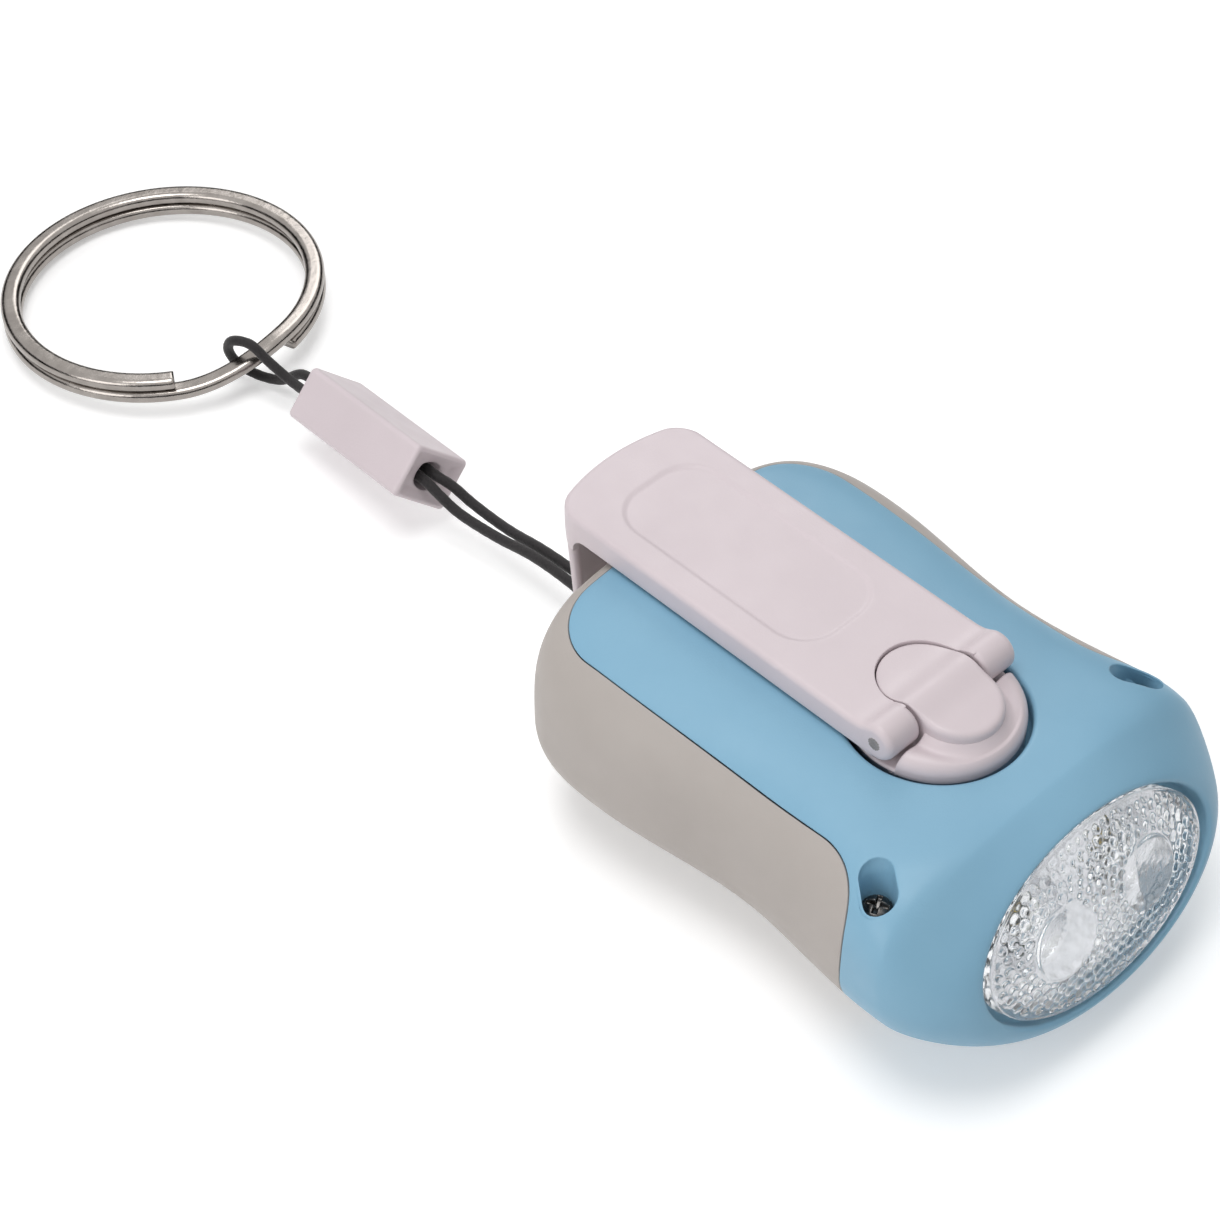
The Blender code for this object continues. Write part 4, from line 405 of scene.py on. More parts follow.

# %% [markdown]
# The wrist cord is one braided line that leaves the rear wall, goes through the bead,
# round the key ring and back. Its route is a smooth curve that passes through the same
# points as the model's, in millimetres. The points are listed one by one, because a cord
# that was dropped on a table follows no formula.
# %% Cord route
BEAD_CENTRE = np.array([-0.42, 59.44, 5.16])
BEAD_YAW, BEAD_PITCH, BEAD_ROLL = np.radians([-4.4, -5.9, 43.4])
BEAD_HALF = np.array([3.5, 8.4, 2.625])
BEAD_BORE = 1.4
RING_CENTRE = np.array([0.2, 77.2, 3.65])
RING_RADIUS = 15.0
RING_TILT = math.radians(3.5)
LOOP_RADIUS = 2.62
LOOP_LOW_Z = RING_CENTRE[2] - LOOP_RADIUS
CORD_EXIT = np.array([0.0, 23.2, 4.0])
CORD_RADIUS = 0.5
CORD_SPREAD = 0.75
KNOT_FACE_Y = 20.5
IN_BORE = 0.62
NEAR_LOOP = 0.72
LOOP_LEAD = 4.4
ROUTE_STEP = 0.13


def turn_about(axis, angle):
    """Rotation matrix about X, Y or Z."""
    matrix = np.eye(3)
    one, two = (axis + 1) % 3, (axis + 2) % 3
    matrix[one, one] = matrix[two, two] = math.cos(angle)
    matrix[one, two], matrix[two, one] = -math.sin(angle), math.sin(angle)
    return matrix


bead_turn = turn_about(2, BEAD_YAW) @ turn_about(0, BEAD_PITCH) @ turn_about(1, BEAD_ROLL)


def in_bead(along, across):
    """A point in the bead's bore, measured along its axis and level across."""
    return (BEAD_CENTRE + bead_turn[:, 1] * along + np.array([across, 0.0, 0.0])).tolist()


def even_points(line, pick):
    """Points along a line, at the distances that pick gives for its length."""
    far = np.concatenate([[0.0], np.cumsum(np.linalg.norm(np.diff(line, axis=0), axis=1))])
    wanted = pick(far[-1])
    return np.stack([np.interp(wanted, far, column) for column in line.T], axis=1)


def smooth_route(knots, step):
    """A cubic through every knot, with knot times t += |p - q|^0.5, worked out as three
    rounds of mixing neighbours in time, then points at an even distance."""
    k = np.array(knots, float)
    k = np.concatenate([[2.0 * k[0] - k[1]], k, [2.0 * k[-1] - k[-2]]])
    a, b, c, d = (k[i : len(k) - 3 + i, None] for i in range(4))
    gaps = [np.linalg.norm(q - p, axis=2) for p, q in ((a, b), (b, c), (c, d))]
    t = np.cumsum(np.sqrt(gaps), axis=0)
    t1, t2, t3 = t[..., None]
    s = t1 + (t2 - t1) * np.linspace(0.0, 1.0, 24, endpoint=False)[None, :, None]
    p = (a * (t1 - s) + b * s) / t1
    q = (b * (t2 - s) + c * (s - t1)) / (t2 - t1)
    r = (c * (t3 - s) + d * (s - t2)) / (t3 - t2)
    u = (p * (t2 - s) + q * s) / t2
    v = (q * (t3 - s) + r * (s - t1)) / (t3 - t1)
    fine = ((u * (t2 - s) + v * (s - t1)) / (t2 - t1)).reshape(-1, 3)
    fine = np.concatenate([fine, k[-2:-1]])
    return even_points(fine, lambda far: np.linspace(0.0, far, max(2, round(far / step)) + 1))


half = BEAD_HALF[1]
near_y, near_z = RING_CENTRE[1:]
over_strand = [
    [-CORD_SPREAD, KNOT_FACE_Y, CORD_EXIT[2]],
    [-CORD_SPREAD, 21.8, CORD_EXIT[2]],
    [-CORD_SPREAD, 23.4, CORD_EXIT[2]],
    [-0.72, 28.0, 4.7],
    [-0.66, 33.0, 5.3],
    [-0.62, 38.0, 5.1],
    [-0.8, 43.0, 4.3],
    [-1.25, 47.5, 4.5],
    [-1.6, 49.6, 5.5],
    *[in_bead(share * half, -IN_BORE) for share in (-1.0, -0.5, 0.0, 0.5, 1.0)],
    in_bead(half + LOOP_LEAD, -NEAR_LOOP),
    [-0.75, near_y - 2.4, near_z + 1.5],
    [-1.2, near_y - 0.4, near_z + LOOP_RADIUS],
    [-1.75, near_y + 1.7, near_z + 2.05],
    [-1.6, near_y + LOOP_RADIUS, near_z + 0.2],
]
under_strand = [
    [-0.9, near_y + 2.1, near_z - 1.75],
    [0.1, near_y + 0.3, LOOP_LOW_Z],
    [0.85, near_y - 1.9, LOOP_LOW_Z + 0.35],
    in_bead(half + LOOP_LEAD, NEAR_LOOP),
    *[in_bead(share * half, IN_BORE) for share in (1.0, 0.5, 0.0, -0.5, -1.0)],
    [0.1, 49.6, 5.4],
    [0.55, 47.4, 4.4],
    [0.75, 43.0, 4.1],
    [0.7, 38.0, 4.9],
    [0.7, 33.0, 5.1],
    [0.74, 28.0, 4.6],
    [CORD_SPREAD, 23.4, CORD_EXIT[2]],
    [CORD_SPREAD, 21.8, CORD_EXIT[2]],
    [CORD_SPREAD, KNOT_FACE_Y, CORD_EXIT[2]],
]
cord_route = smooth_route(over_strand + under_strand, ROUTE_STEP)

# %% [markdown]
# The braid is modelled, not painted. Eight strands go round the core, four each way, and
# the outer one of each crossing stands proud. Along the tube the frame of each ring is
# the last one turned by the smallest angle, so that the braid doesn't twist by itself.
# %% Braided cord
CORD_SIDES = 24
BRAID_PITCH = 2.6
BRAID_DEPTH = 0.07
CLOSED = 0.01


def carried_frames(path):
    """Two directions square to the path at each point, carried along without twist."""
    ahead = unit(np.gradient(path, axis=0))
    side = unit(np.cross(ahead[0], [0.0, 0.0, 1.0]))
    sides = []
    for tangent in ahead:
        side = unit(side - tangent * (side @ tangent))
        sides.append(side)
    sides = np.array(sides)
    return sides, np.cross(ahead, sides)


def braided_tube(path, radius):
    """r = R (1 - d (1 - h)), with h the height of the strand on top: of two crossing sine
    waves, the first where they have one sign and the second elsewhere. The ring at each
    end is drawn together, which closes the tube."""
    side, up = carried_frames(path)
    angle = np.linspace(0.0, 2.0 * math.pi, CORD_SIDES, endpoint=False)
    along = np.arange(len(path))[:, None] * np.linalg.norm(path[1] - path[0])
    phase = 2.0 * math.pi * along / BRAID_PITCH
    one, two = np.sin(4.0 * angle + phase), np.sin(4.0 * angle - phase)
    h = np.where(one * two > 0.0, np.abs(one), np.abs(two))
    r = (radius * (1.0 - BRAID_DEPTH * (1.0 - h)))[..., None]
    rings = path[:, None] + r * (
        side[:, None] * np.cos(angle)[None, :, None] + up[:, None] * np.sin(angle)[None, :, None]
    )
    for end in (0, -1):
        rings[end] = path[end] + (rings[end] - path[end]) * CLOSED
    return rings.reshape(-1, 3), grid_triangles(len(path), CORD_SIDES, wrap=True)


cord_look = grained_look(
    "woven_black_cord",
    (3800.0, 3.0),
    (22, 20, 21),
    (48, 45, 46),
    (0.62, 0.85),
    relief=(9000.0, 2.0, 0.00003),
    Sheen_Weight=0.25,
    Sheen_Roughness=0.5,
    Specular_IOR_Level=0.3,
)
points, triangles = braided_tube(cord_route, CORD_RADIUS)
wrist_cord = make_mesh("wrist_cord", points, triangles[:, ::-1])
finish_piece(wrist_cord, cord_look, "housing", "black_cord", "cord")
print("cord triangles", len(triangles))

# %% [markdown]
# The bead is a square bar with soft edges. A rounded rectangle gives its outline, and
# the piece is one closed sheet that runs along the bore, over an end and back along the
# outside. The end towards the light is dished, as a thick moulding shrinks when it cools.
# %% Bead
def rounded_outline(half_x, half_y, corner, count):
    """Points at equal distances round a rectangle whose corners are quarter circles."""
    angle = np.linspace(0.0, 2.0 * math.pi, 4 * 16, endpoint=False) + math.pi / 64.0
    x = np.sign(np.cos(angle)) * (half_x - corner) + corner * np.cos(angle)
    y = np.sign(np.sin(angle)) * (half_y - corner) + corner * np.sin(angle)
    line = np.stack([x, y], axis=1)
    line = np.concatenate([line, line[:1]])
    return even_points(line, lambda far: np.linspace(0.0, far, count, endpoint=False))


BEAD_COLUMNS = 160
BEAD_ROUND = 0.4
BEAD_CORNER = 0.5
BEAD_RIM = 1.1
DISH_DEPTH = 0.62
bar = rounded_outline(BEAD_HALF[0], BEAD_HALF[2], BEAD_CORNER, BEAD_COLUMNS)
bore = BEAD_BORE * unit(bar)
inner_bar = bar * (1.0 - BEAD_RIM / BEAD_HALF[[0, 2]])
quarter = np.linspace(0.0, math.pi / 2.0, 6)
rows = [(bore, share * (BEAD_HALF[1] - 1.0)) for share in np.linspace(1.0, -1.0, 12)]
rows += [(bore * 1.08, -BEAD_HALF[1] + 0.75)]
rows += [
    (bore * (1 - s) + inner_bar * s, -BEAD_HALF[1] + DISH_DEPTH - 0.1 * s) for s in (0.2, 0.6, 1.0)
]
bead_share = BEAD_ROUND / BEAD_HALF[[0, 2]]
shrink = [(1.0 - (1.0 - math.sin(t)) * bead_share, math.cos(t)) for t in quarter]
rows += [(bar * shrink[0][0] * 0.96, -BEAD_HALF[1] + 0.08)]
rows += [(bar * size, -BEAD_HALF[1] + BEAD_ROUND * (1.0 - back)) for size, back in shrink]
rows += [(bar, share * (BEAD_HALF[1] - BEAD_ROUND)) for share in np.linspace(-0.95, 0.95, 24)]
rows += [(bar * size, BEAD_HALF[1] - BEAD_ROUND * (1.0 - back)) for size, back in shrink[::-1]]
rows += [(bore * s + bar * shrink[0][0] * (1 - s), BEAD_HALF[1]) for s in (0.3, 0.7, 0.95)]
rows += [(bore, BEAD_HALF[1] - 0.25), (bore, BEAD_HALF[1] - 1.0)]
bead_grid = np.stack([np.column_stack([o[:, 0], np.full(len(o), y), o[:, 1]]) for o, y in rows])
bead_points = BEAD_CENTRE + bead_grid.reshape(-1, 3) @ bead_turn.T
bead = make_mesh("bead_shell", bead_points, grid_triangles(len(rows), BEAD_COLUMNS, wrap=True))
finish_piece(bead, pink_plastic, "bead", "pink_plastic", "cord_bead")
print("bead triangles", len(bead.data.polygons))

# %% [markdown]
# The key ring is nickel-plated spring wire, wound twice. One sweep of a rounded section
# follows r = R, and its level changes from the lower coil to the upper one along the
# crossover, with 3t^2 - 2t^3. Both cut ends stay visible.
# %% Key ring
RING_BAND = 1.95
RING_WIRE = 1.3
RING_GAP = 0.1
CROSSOVER = -100.0
CROSSOVER_SPAN = 46.0
RING_COLUMNS = 32
RING_STATIONS = 560
RING_CORNER = 0.6
WIRE_END = 0.02
section = rounded_outline(RING_BAND / 2.0, RING_WIRE / 2.0, RING_CORNER, RING_COLUMNS)
first, last = CROSSOVER + CROSSOVER_SPAN / 2.0, CROSSOVER + 720.0 - CROSSOVER_SPAN / 2.0
sweep = np.linspace(first, last, RING_STATIONS)
rise = (RING_WIRE + RING_GAP) / 2.0
level = rise * (2.0 * smooth_step((sweep - CROSSOVER - 360.0) / CROSSOVER_SPAN + 0.5) - 1.0)
turns = np.radians(sweep)[:, None]
scale = np.ones(len(sweep))[:, None]
scale[[0, -1]] = WIRE_END
radius = RING_RADIUS + section[:, 0] * scale
ring_points = np.stack(
    [
        radius * np.cos(turns),
        radius * np.sin(turns) + RING_RADIUS,
        level[:, None] + section[:, 1] * scale,
    ],
    axis=-1,
)
ring_points[0] += ring_points[1].mean(axis=0) - ring_points[0].mean(axis=0)
ring_points[-1] += ring_points[-2].mean(axis=0) - ring_points[-1].mean(axis=0)
ring_points = RING_CENTRE + ring_points.reshape(-1, 3) @ turn_about(0, -RING_TILT).T
nickel = grained_look(
    "nickel_plated_wire",
    (700.0, 4.0),
    (146, 140, 135),
    (164, 158, 153),
    (0.16, 0.28),
    relief=(1500.0, 3.0, 0.00002),
    Metallic=1.0,
)
ring = make_mesh("key_ring_wire", ring_points, grid_triangles(len(sweep), RING_COLUMNS, wrap=True))
finish_piece(ring, nickel, "ring", "nickel_steel", "split_ring")
print("ring triangles", len(ring.data.polygons))

# %% [markdown]
# The housing is one smooth form that two mouldings share. It is a stack of
# superellipses, |x/a|^n + |z/h|^n = 1, whose width, top and belly change along Y. The
# nose leans back until the last section lies in the tilted plane of the lens.
# %% Housing form
BODY_HEIGHT = 20.8
BODY_REAR_Y = 23.2
WAIST_Y = -3.5
REAR_BULGE_Y = 12.8
FRONT_BULGE_Y = -21.6
WAIST_HALF_WIDTH = 17.2
REAR_HALF_WIDTH = 18.9
FRONT_HALF_WIDTH = 19.2
LENS_Y = -25.93
LENS_Z = 12.26
LENS_TILT = math.radians(22.6)
LENS_HALF = np.array([13.24, 7.46])
LENS_GAP = 0.2
LENS_RIM = 0.35
POCKET = 2.3
LEDGE = 1.0
NOSE_LENGTH = 10.0
REAR_CORNER = 10.0
REAR_EDGE = 3.4
REAR_POWER = 2.6
LENS_POWER = 1.5
SIDE_TAPER = 6.2
ROOF_TAPER = 4.6
BELLY_TAPER = 17.0
BELLY_SAG = 0.4
ROOF_SQUARENESS = 3.8
BELLY_SQUARENESS = 2.1


def round_over(distance, length, power):
    """(1 - (1 - d/L)^p)^(1/p): 0 at the end of a form, 1 once its rounding is over."""
    t = np.clip(1.0 - distance / length, 0.0, 1.0)
    return (1.0 - t**power) ** (1.0 / power)


def half_width(y):
    """The waisted width: two smooth steps away from the waist."""
    rear = smooth_step((y - WAIST_Y) / (REAR_BULGE_Y - WAIST_Y))
    front = smooth_step((WAIST_Y - y) / (WAIST_Y - FRONT_BULGE_Y))
    wide = np.where(
        y > WAIST_Y,
        (REAR_HALF_WIDTH - WAIST_HALF_WIDTH) * rear,
        (FRONT_HALF_WIDTH - WAIST_HALF_WIDTH) * front,
    )
    return WAIST_HALF_WIDTH + wide


def housing_surface(y, angle):
    """Points for each station y and each angle round the section. With c and s the
    cosine and sine, x = a c k and z = m + h s k, where k = (|c|^n + |s|^n)^(-1/n)."""
    y = y[:, None]
    c, s = np.cos(angle)[None, :], np.sin(angle)[None, :]
    to_rear, to_lens = BODY_REAR_Y - y, y - LENS_Y
    rim_x = LENS_HALF[0] + LENS_GAP + LENS_RIM
    rim_z = (LENS_HALF[1] + LENS_GAP + LENS_RIM) * math.cos(LENS_TILT)
    side = REAR_CORNER * (1.0 - round_over(to_rear, REAR_CORNER, REAR_POWER))
    edge = REAR_EDGE * (1.0 - round_over(to_rear, REAR_EDGE, REAR_POWER))
    wide = half_width(y)
    a = wide - side - (wide - rim_x) * (1.0 - round_over(to_lens, SIDE_TAPER, LENS_POWER))
    top = BODY_HEIGHT - edge
    fall = 1.0 - round_over(to_lens, ROOF_TAPER, LENS_POWER)
    top = top - (BODY_HEIGHT - LENS_Z - rim_z) * fall
    climb = 1.0 - round_over(to_lens, BELLY_TAPER, LENS_POWER)
    low = 0.8 * edge - BELLY_SAG + (LENS_Z - rim_z + BELLY_SAG) * climb
    nose = smooth_step(1.0 - to_lens / NOSE_LENGTH)
    middle = low + (top - low) * (0.51 - 0.01 * nose)
    n = np.where(s > 0.0, ROOF_SQUARENESS, BELLY_SQUARENESS)
    n = n + (2.0 - n) * nose
    height = np.where(s > 0.0, top - middle, middle - low)
    k = (np.abs(c) ** n + np.abs(s) ** n) ** (-1.0 / n)
    z = middle + height * s * k
    lean = (z - LENS_Z) * math.tan(LENS_TILT) * nose
    return np.stack([a * c * k, y + lean, z], axis=-1)


def lens_to_world(across, up, out):
    """From lens coordinates to the model's: the lens plane leans back by its tilt."""
    y = LENS_Y + up * math.sin(LENS_TILT) - out * math.cos(LENS_TILT)
    z = LENS_Z + up * math.cos(LENS_TILT) + out * math.sin(LENS_TILT)
    return np.stack([across, y, z], axis=-1)

# %% [markdown]
# The stations stand closest where the form bends fastest, at the lens and at the rear.
# In front, the sheet begins inside the lens's pocket and comes out over its rim. At the
# rear it closes in shrinking rings, into which the notch is pressed later.
# %% Housing sheet
SECTION_POINTS = 320
END_ROWS = 46
MIDDLE_ROWS = 74
CAP_ROWS = 40
CROWDING = 1.8
around = np.linspace(0.0, 2.0 * math.pi, SECTION_POINTS, endpoint=False)
front_rows = LENS_Y + NOSE_LENGTH * np.linspace(0.0, 1.0, END_ROWS) ** CROWDING
middle_rows = np.linspace(LENS_Y + NOSE_LENGTH, BODY_REAR_Y - REAR_CORNER, MIDDLE_ROWS)[1:-1]
rear_rows = BODY_REAR_Y - REAR_CORNER * np.linspace(1.0, 0.0, END_ROWS) ** CROWDING
stations = np.concatenate([front_rows, middle_rows, rear_rows])
skin = housing_surface(stations, around)
turn = np.linspace(0.0, math.pi / 2.0, 6)
pocket_grow = np.concatenate([[-LEDGE, 0.0, 0.0], LENS_RIM * (1.0 - np.cos(turn))])[:-1, None]
pocket_out = np.concatenate([[-POCKET, -POCKET, -POCKET / 2.0], -LENS_RIM * (1.0 - np.sin(turn))])
pocket_out = pocket_out[:-1, None]
pocket = lens_to_world(
    (LENS_HALF[0] + LENS_GAP + pocket_grow) * np.cos(around),
    (LENS_HALF[1] + LENS_GAP + pocket_grow) * np.sin(around),
    pocket_out + 0.0 * around,
)
cap_centre = skin[-1].mean(axis=0)
cap_shrink = np.linspace(0.98, 0.01, CAP_ROWS)[:, None, None]
rear_cap = cap_centre + (skin[-1] - cap_centre) * cap_shrink
housing = np.concatenate([pocket, skin, rear_cap])
housing_points = housing.reshape(-1, 3)
housing_triangles = grid_triangles(len(housing), SECTION_POINTS, wrap=True)
print("housing rows", len(housing), "points", len(housing_points))

# %% [markdown]
# The seam between the blue cover and the grey case is drawn in plan: straight along the
# waist, round the rear corners, and out to the sides in two flares at the front. Under
# the widest line it is a plain split across the belly. The field below is the distance
# to that seam, positive on the blue side.
# %% Seam field
SEAM_HALF_WIDTH = 15.3
SEAM_WAIST_HALF_WIDTH = 14.85
SEAM_REAR_Y = 21.3
SEAM_CORNER = 5.5
FLARE_RADIUS = 6.4
FLARE_Y = -9.7
FLARE_X = SEAM_WAIST_HALF_WIDTH + FLARE_RADIUS
SPLIT_Y = -15.6
SPLIT_Z = 11.0


def in_corner(beyond, corner):
    """Distance inside a rounded corner, from how far each point is beyond its two sides."""
    q = beyond + corner
    return corner - np.hypot(*np.maximum(q, 0.0)) - np.minimum(q.max(axis=0), 0.0)


def seam_field(p):
    """A rounded box behind the flare, a circle's outside along it, a plane below."""
    x, y, z = np.abs(p[:, 0]), p[:, 1], p[:, 2]
    rise = smooth_step((y - WAIST_Y) / (REAR_BULGE_Y - WAIST_Y))
    seam_x = SEAM_WAIST_HALF_WIDTH + (SEAM_HALF_WIDTH - SEAM_WAIST_HALF_WIDTH) * rise
    box = in_corner(np.stack([x - seam_x, y - SEAM_REAR_Y]), SEAM_CORNER)
    flare = np.hypot(x - FLARE_X, y - FLARE_Y) - FLARE_RADIUS
    plan = np.where(y > FLARE_Y, box, flare)
    return np.where(z > SPLIT_Z, plan, SPLIT_Y - y)

# %% [markdown]
# The blue cover is the part of the sheet on one side of the seam. Two screw wells are
# cut into its front corners and a round recess into its roof, each by a field of its
# own. The mouth of a well is a short slot that leads in and back to the round bore.
# %% Blue cover
SCREW_AT = np.array([15.5, -16.17])
SCOOP_WAY = np.array([-0.6, 0.8])
HUB_Y = -8.06
SEAM_VISUAL_GAP = 0.03
EDGE_ROLL = 0.1
WELL_SCOOP = (-0.7, 1.1)
SKIN = 0.25
SIDES_Z = 9.0
ROOF_Z = 17.0
FAR = 30.0


def scoop_shift(p):
    """How far a point near a well lies along the scoop, which leads in and back."""
    level = np.stack([np.abs(p[:, 0]), p[:, 1]], axis=1) - SCREW_AT
    along = np.clip(level @ SCOOP_WAY, *WELL_SCOOP)
    return level, along[:, None] * SCOOP_WAY


def well_field(p):
    """Distance outside the two screw wells, whose mouths are short slots."""
    level, shift = scoop_shift(p)
    return np.where(p[:, 2] > SIDES_Z, np.linalg.norm(level - shift, axis=1), FAR)


def recess_field(p):
    """Distance from the crank axis, on the roof only."""
    return np.where(p[:, 2] > ROOF_Z, np.hypot(p[:, 0], p[:, 1] - HUB_Y), FAR)


WELL_RADIUS = 1.32
WELL_ROLL = 0.14
WELL_FLOOR_Z = 16.0
RECESS_RADIUS = 7.65
RECESS_ROLL = 0.5
RECESS_FLOOR_Z = 18.2
RECESS_HOLE = 5.45


def down_to(z, inward):
    """A wall straight down to a height, then a floor that closes inwards."""

    def rows(edge, out):
        flat = edge.copy()
        flat[:, 2] = z
        level = unit(out * [1.0, 1.0, 0.0])
        return [(edge + flat) / 2.0, flat, flat + level * inward * 0.5, flat + level * inward]

    return rows


def well_wall(edge, out):
    """The mouth narrows to the screw's round bore on the way down to its floor."""
    side = np.sign(edge[:, :1])
    narrow = edge.copy()
    narrow[:, :2] -= scoop_shift(edge)[1] * np.column_stack([side, np.ones(len(edge))])
    rows = []
    for share in (0.15, 0.35, 0.6, 0.8, 1.0):
        row = edge + (narrow - edge) * share**0.7
        row[:, 2] = edge[:, 2] + (WELL_FLOOR_Z - edge[:, 2]) * share
        rows.append(row)
    centre = side * [SCREW_AT[0], 0.0, 0.0] + [0.0, SCREW_AT[1], WELL_FLOOR_Z]
    return rows + [centre + (rows[-1] - centre) * share for share in (0.6, 0.02)]


DOWN = (0.0, 0.0, -1.0)
UP = (0.0, 0.0, 1.0)
FORWARD = (0.0, -1.0, 0.0)
SEAM_WALL = [(0.0, 0.5), (0.0, 1.2)]
blue_side = seam_field(housing_points) - SEAM_VISUAL_GAP
sheet = rolled((housing_points, housing_triangles), blue_side, EDGE_ROLL, SEAM_WALL)
sheet = rolled(sheet, lambda p: well_field(p) - WELL_RADIUS, WELL_ROLL, well_wall, DOWN)
recess_wall = down_to(RECESS_FLOOR_Z, RECESS_RADIUS - RECESS_HOLE)
sheet = rolled(sheet, lambda p: recess_field(p) - RECESS_RADIUS, RECESS_ROLL, recess_wall, DOWN, 8)
cover = thicken(make_mesh("cover_shell", *sheet), SKIN)
finish_piece(cover, blue_plastic, "housing", "blue_plastic", "top_cover")
print("cover triangles", len(sheet[1]))

# %% [markdown]
# The grey case is the rest of the same form, so the two meet without a step. It has a
# flat foot, a shallow finger notch behind the lever's lip, a slot for the cord and a
# round hole for the button in its belly.
# %% Grey case
NOTCH_Y = 22.2
NOTCH_HALF = 8.3
NOTCH_LOW_Z = 10.5
NOTCH_FLARE_Z = 16.0
NOTCH_FLARE = 4.0
NOTCH_SLOPE = 0.7
SLOT_RADIUS = 0.75
REAR_WALL_Y = 20.0
BELLY_Z = 3.0
BUTTON_Y = 11.0
BUTTON_HOLE = 3.35
HOLE_ROLL = 0.2
SLOT_WALL = [(0.0, 1.0), (0.0, 2.4)]
BUTTON_WALL = [(0.0, 0.6), (0.0, 1.2)]


def with_notch(p):
    """Points behind the notch plane are pushed to it inside the notch's outline, which
    widens along a quarter circle, w + R - (R^2 - h^2)^(1/2), near the roof. What hangs
    below the table is pushed up to it, which makes the flat foot."""
    x, y, z = np.abs(p[:, 0]), p[:, 1].copy(), p[:, 2]
    high = np.clip(z - NOTCH_FLARE_Z, 0.0, NOTCH_FLARE)
    half = NOTCH_HALF + NOTCH_FLARE - np.sqrt(NOTCH_FLARE**2 - high**2)
    inside = np.minimum(half - x, z - NOTCH_LOW_Z)
    y -= np.maximum(y - NOTCH_Y, 0.0) * smooth_step(inside / NOTCH_SLOPE + 0.5)
    return np.stack([p[:, 0], y, np.maximum(z, 0.0)], axis=1)


def slot_field(p):
    """Distance outside a short level slot in the rear wall."""
    level = np.maximum(np.abs(p[:, 0]) - CORD_SPREAD, 0.0)
    return np.where(p[:, 1] > REAR_WALL_Y, np.hypot(level, p[:, 2] - CORD_EXIT[2]), FAR)


def button_field(p):
    """Distance from the button's axis, on the belly only."""
    return np.where(p[:, 2] < BELLY_Z, np.hypot(p[:, 0], p[:, 1] - BUTTON_Y), FAR)


case_points = with_notch(housing_points)
grey_side = -seam_field(housing_points) - SEAM_VISUAL_GAP
sheet = rolled((case_points, housing_triangles), grey_side, EDGE_ROLL, SEAM_WALL)
sheet = rolled(sheet, lambda p: slot_field(p) - SLOT_RADIUS, HOLE_ROLL, SLOT_WALL, FORWARD)
sheet = rolled(sheet, lambda p: button_field(p) - BUTTON_HOLE, HOLE_ROLL, BUTTON_WALL, UP)
case = thicken(make_mesh("case_shell", *sheet), SKIN)
finish_piece(case, grey_plastic, "housing", "grey_plastic", "lower_case")
print("case triangles", len(sheet[1]))

# %% [markdown]
# Most of the other pieces are plates: an outline seen from above, a top and a bottom
# height for each point, and rolled edges. `slab` trims a flat grid by the outline's
# field, lifts it to the top, rolls its edge over, drops the wall and closes the bottom.
# `lathe` turns a profile about an axis.
# %% Plates and turned pieces
def slab(field, reach, step, top, low, roll, foot=0.15):
    """field(x, y) > 0 inside, reach = (x0, x1, y0, y1); top, low and roll are numbers or
    functions of the points. Returns one closed shell as points and triangles."""

    def value(rule, p):
        return rule(p) if callable(rule) else np.full(len(p), float(rule))

    x = np.arange(reach[0], reach[1] + step, step)
    y = np.arange(reach[2], reach[3] + step, step)
    gx, gy = np.meshgrid(x, y)
    flat = np.stack([gx.ravel(), gy.ravel(), np.zeros(gx.size)], axis=1)
    cells = grid_triangles(len(y), len(x))[:, ::-1]
    flat, cells, line = trim(flat, cells, field(flat) - value(roll, flat))
    upper, lower = flat.copy(), flat.copy()
    upper[:, 2] = value(top, flat)
    lower[:, 2] = value(low, flat)

    def rows(edge, out):
        level = unit(out * [1.0, 1.0, 0.0])
        end = value(low, edge)
        made = []
        for share in (0.3, 0.65, 1.0):
            row = edge.copy()
            row[:, 2] += (end + foot - edge[:, 2]) * share
            made.append(row)
        for t in (0.35, 0.7, 1.0):
            row = edge - level * foot * t * t
            row[:, 2] = end + foot * (1.0 - t) ** 2
            made.append(row)
        inner = edge - level * value(roll, edge)[:, None]
        inner[:, 2] = end
        return made + [inner]

    shell, faces = roll_edge(upper, cells, line, roll, rows, DOWN, steps=6)
    return join_shells((shell, faces), (lower, cells[:, ::-1]))


NEAR_AXIS = 0.02


def lathe(profile, place, axis=2, count=64):
    """(r, h) pairs turned about an axis through a point: r cos a, r sin a, h."""
    profile = np.array(profile, float)
    angle = np.linspace(0.0, 2.0 * math.pi, count, endpoint=False)
    flat = np.stack(
        [
            profile[:, :1] * np.cos(angle),
            profile[:, :1] * np.sin(angle),
            profile[:, 1:] + 0.0 * angle,
        ],
        axis=-1,
    )
    points = np.roll(flat, axis - 2, axis=-1).reshape(-1, 3) + np.asarray(place, float)
    return points, grid_triangles(len(profile), count, wrap=True)


def corner_arc(r, h, radius, start, end, steps=6):
    """Profile points on a quarter circle, for turned edges."""
    a = np.radians(np.linspace(start, end, steps))
    return [(r + radius * math.cos(t), h + radius * math.sin(t)) for t in a]


def ellipse_field(p, half_x, half_y):
    """(1 - q) / |grad q| with q = sqrt((x/a)^2 + (y/b)^2), almost the distance inside."""
    q = np.hypot(p[:, 0] / half_x, p[:, 1] / half_y)
    slope = np.hypot(p[:, 0] / half_x**2, p[:, 1] / half_y**2) / np.maximum(q, 1e-6)
    return (1.0 - q) / np.maximum(slope, 1e-6)


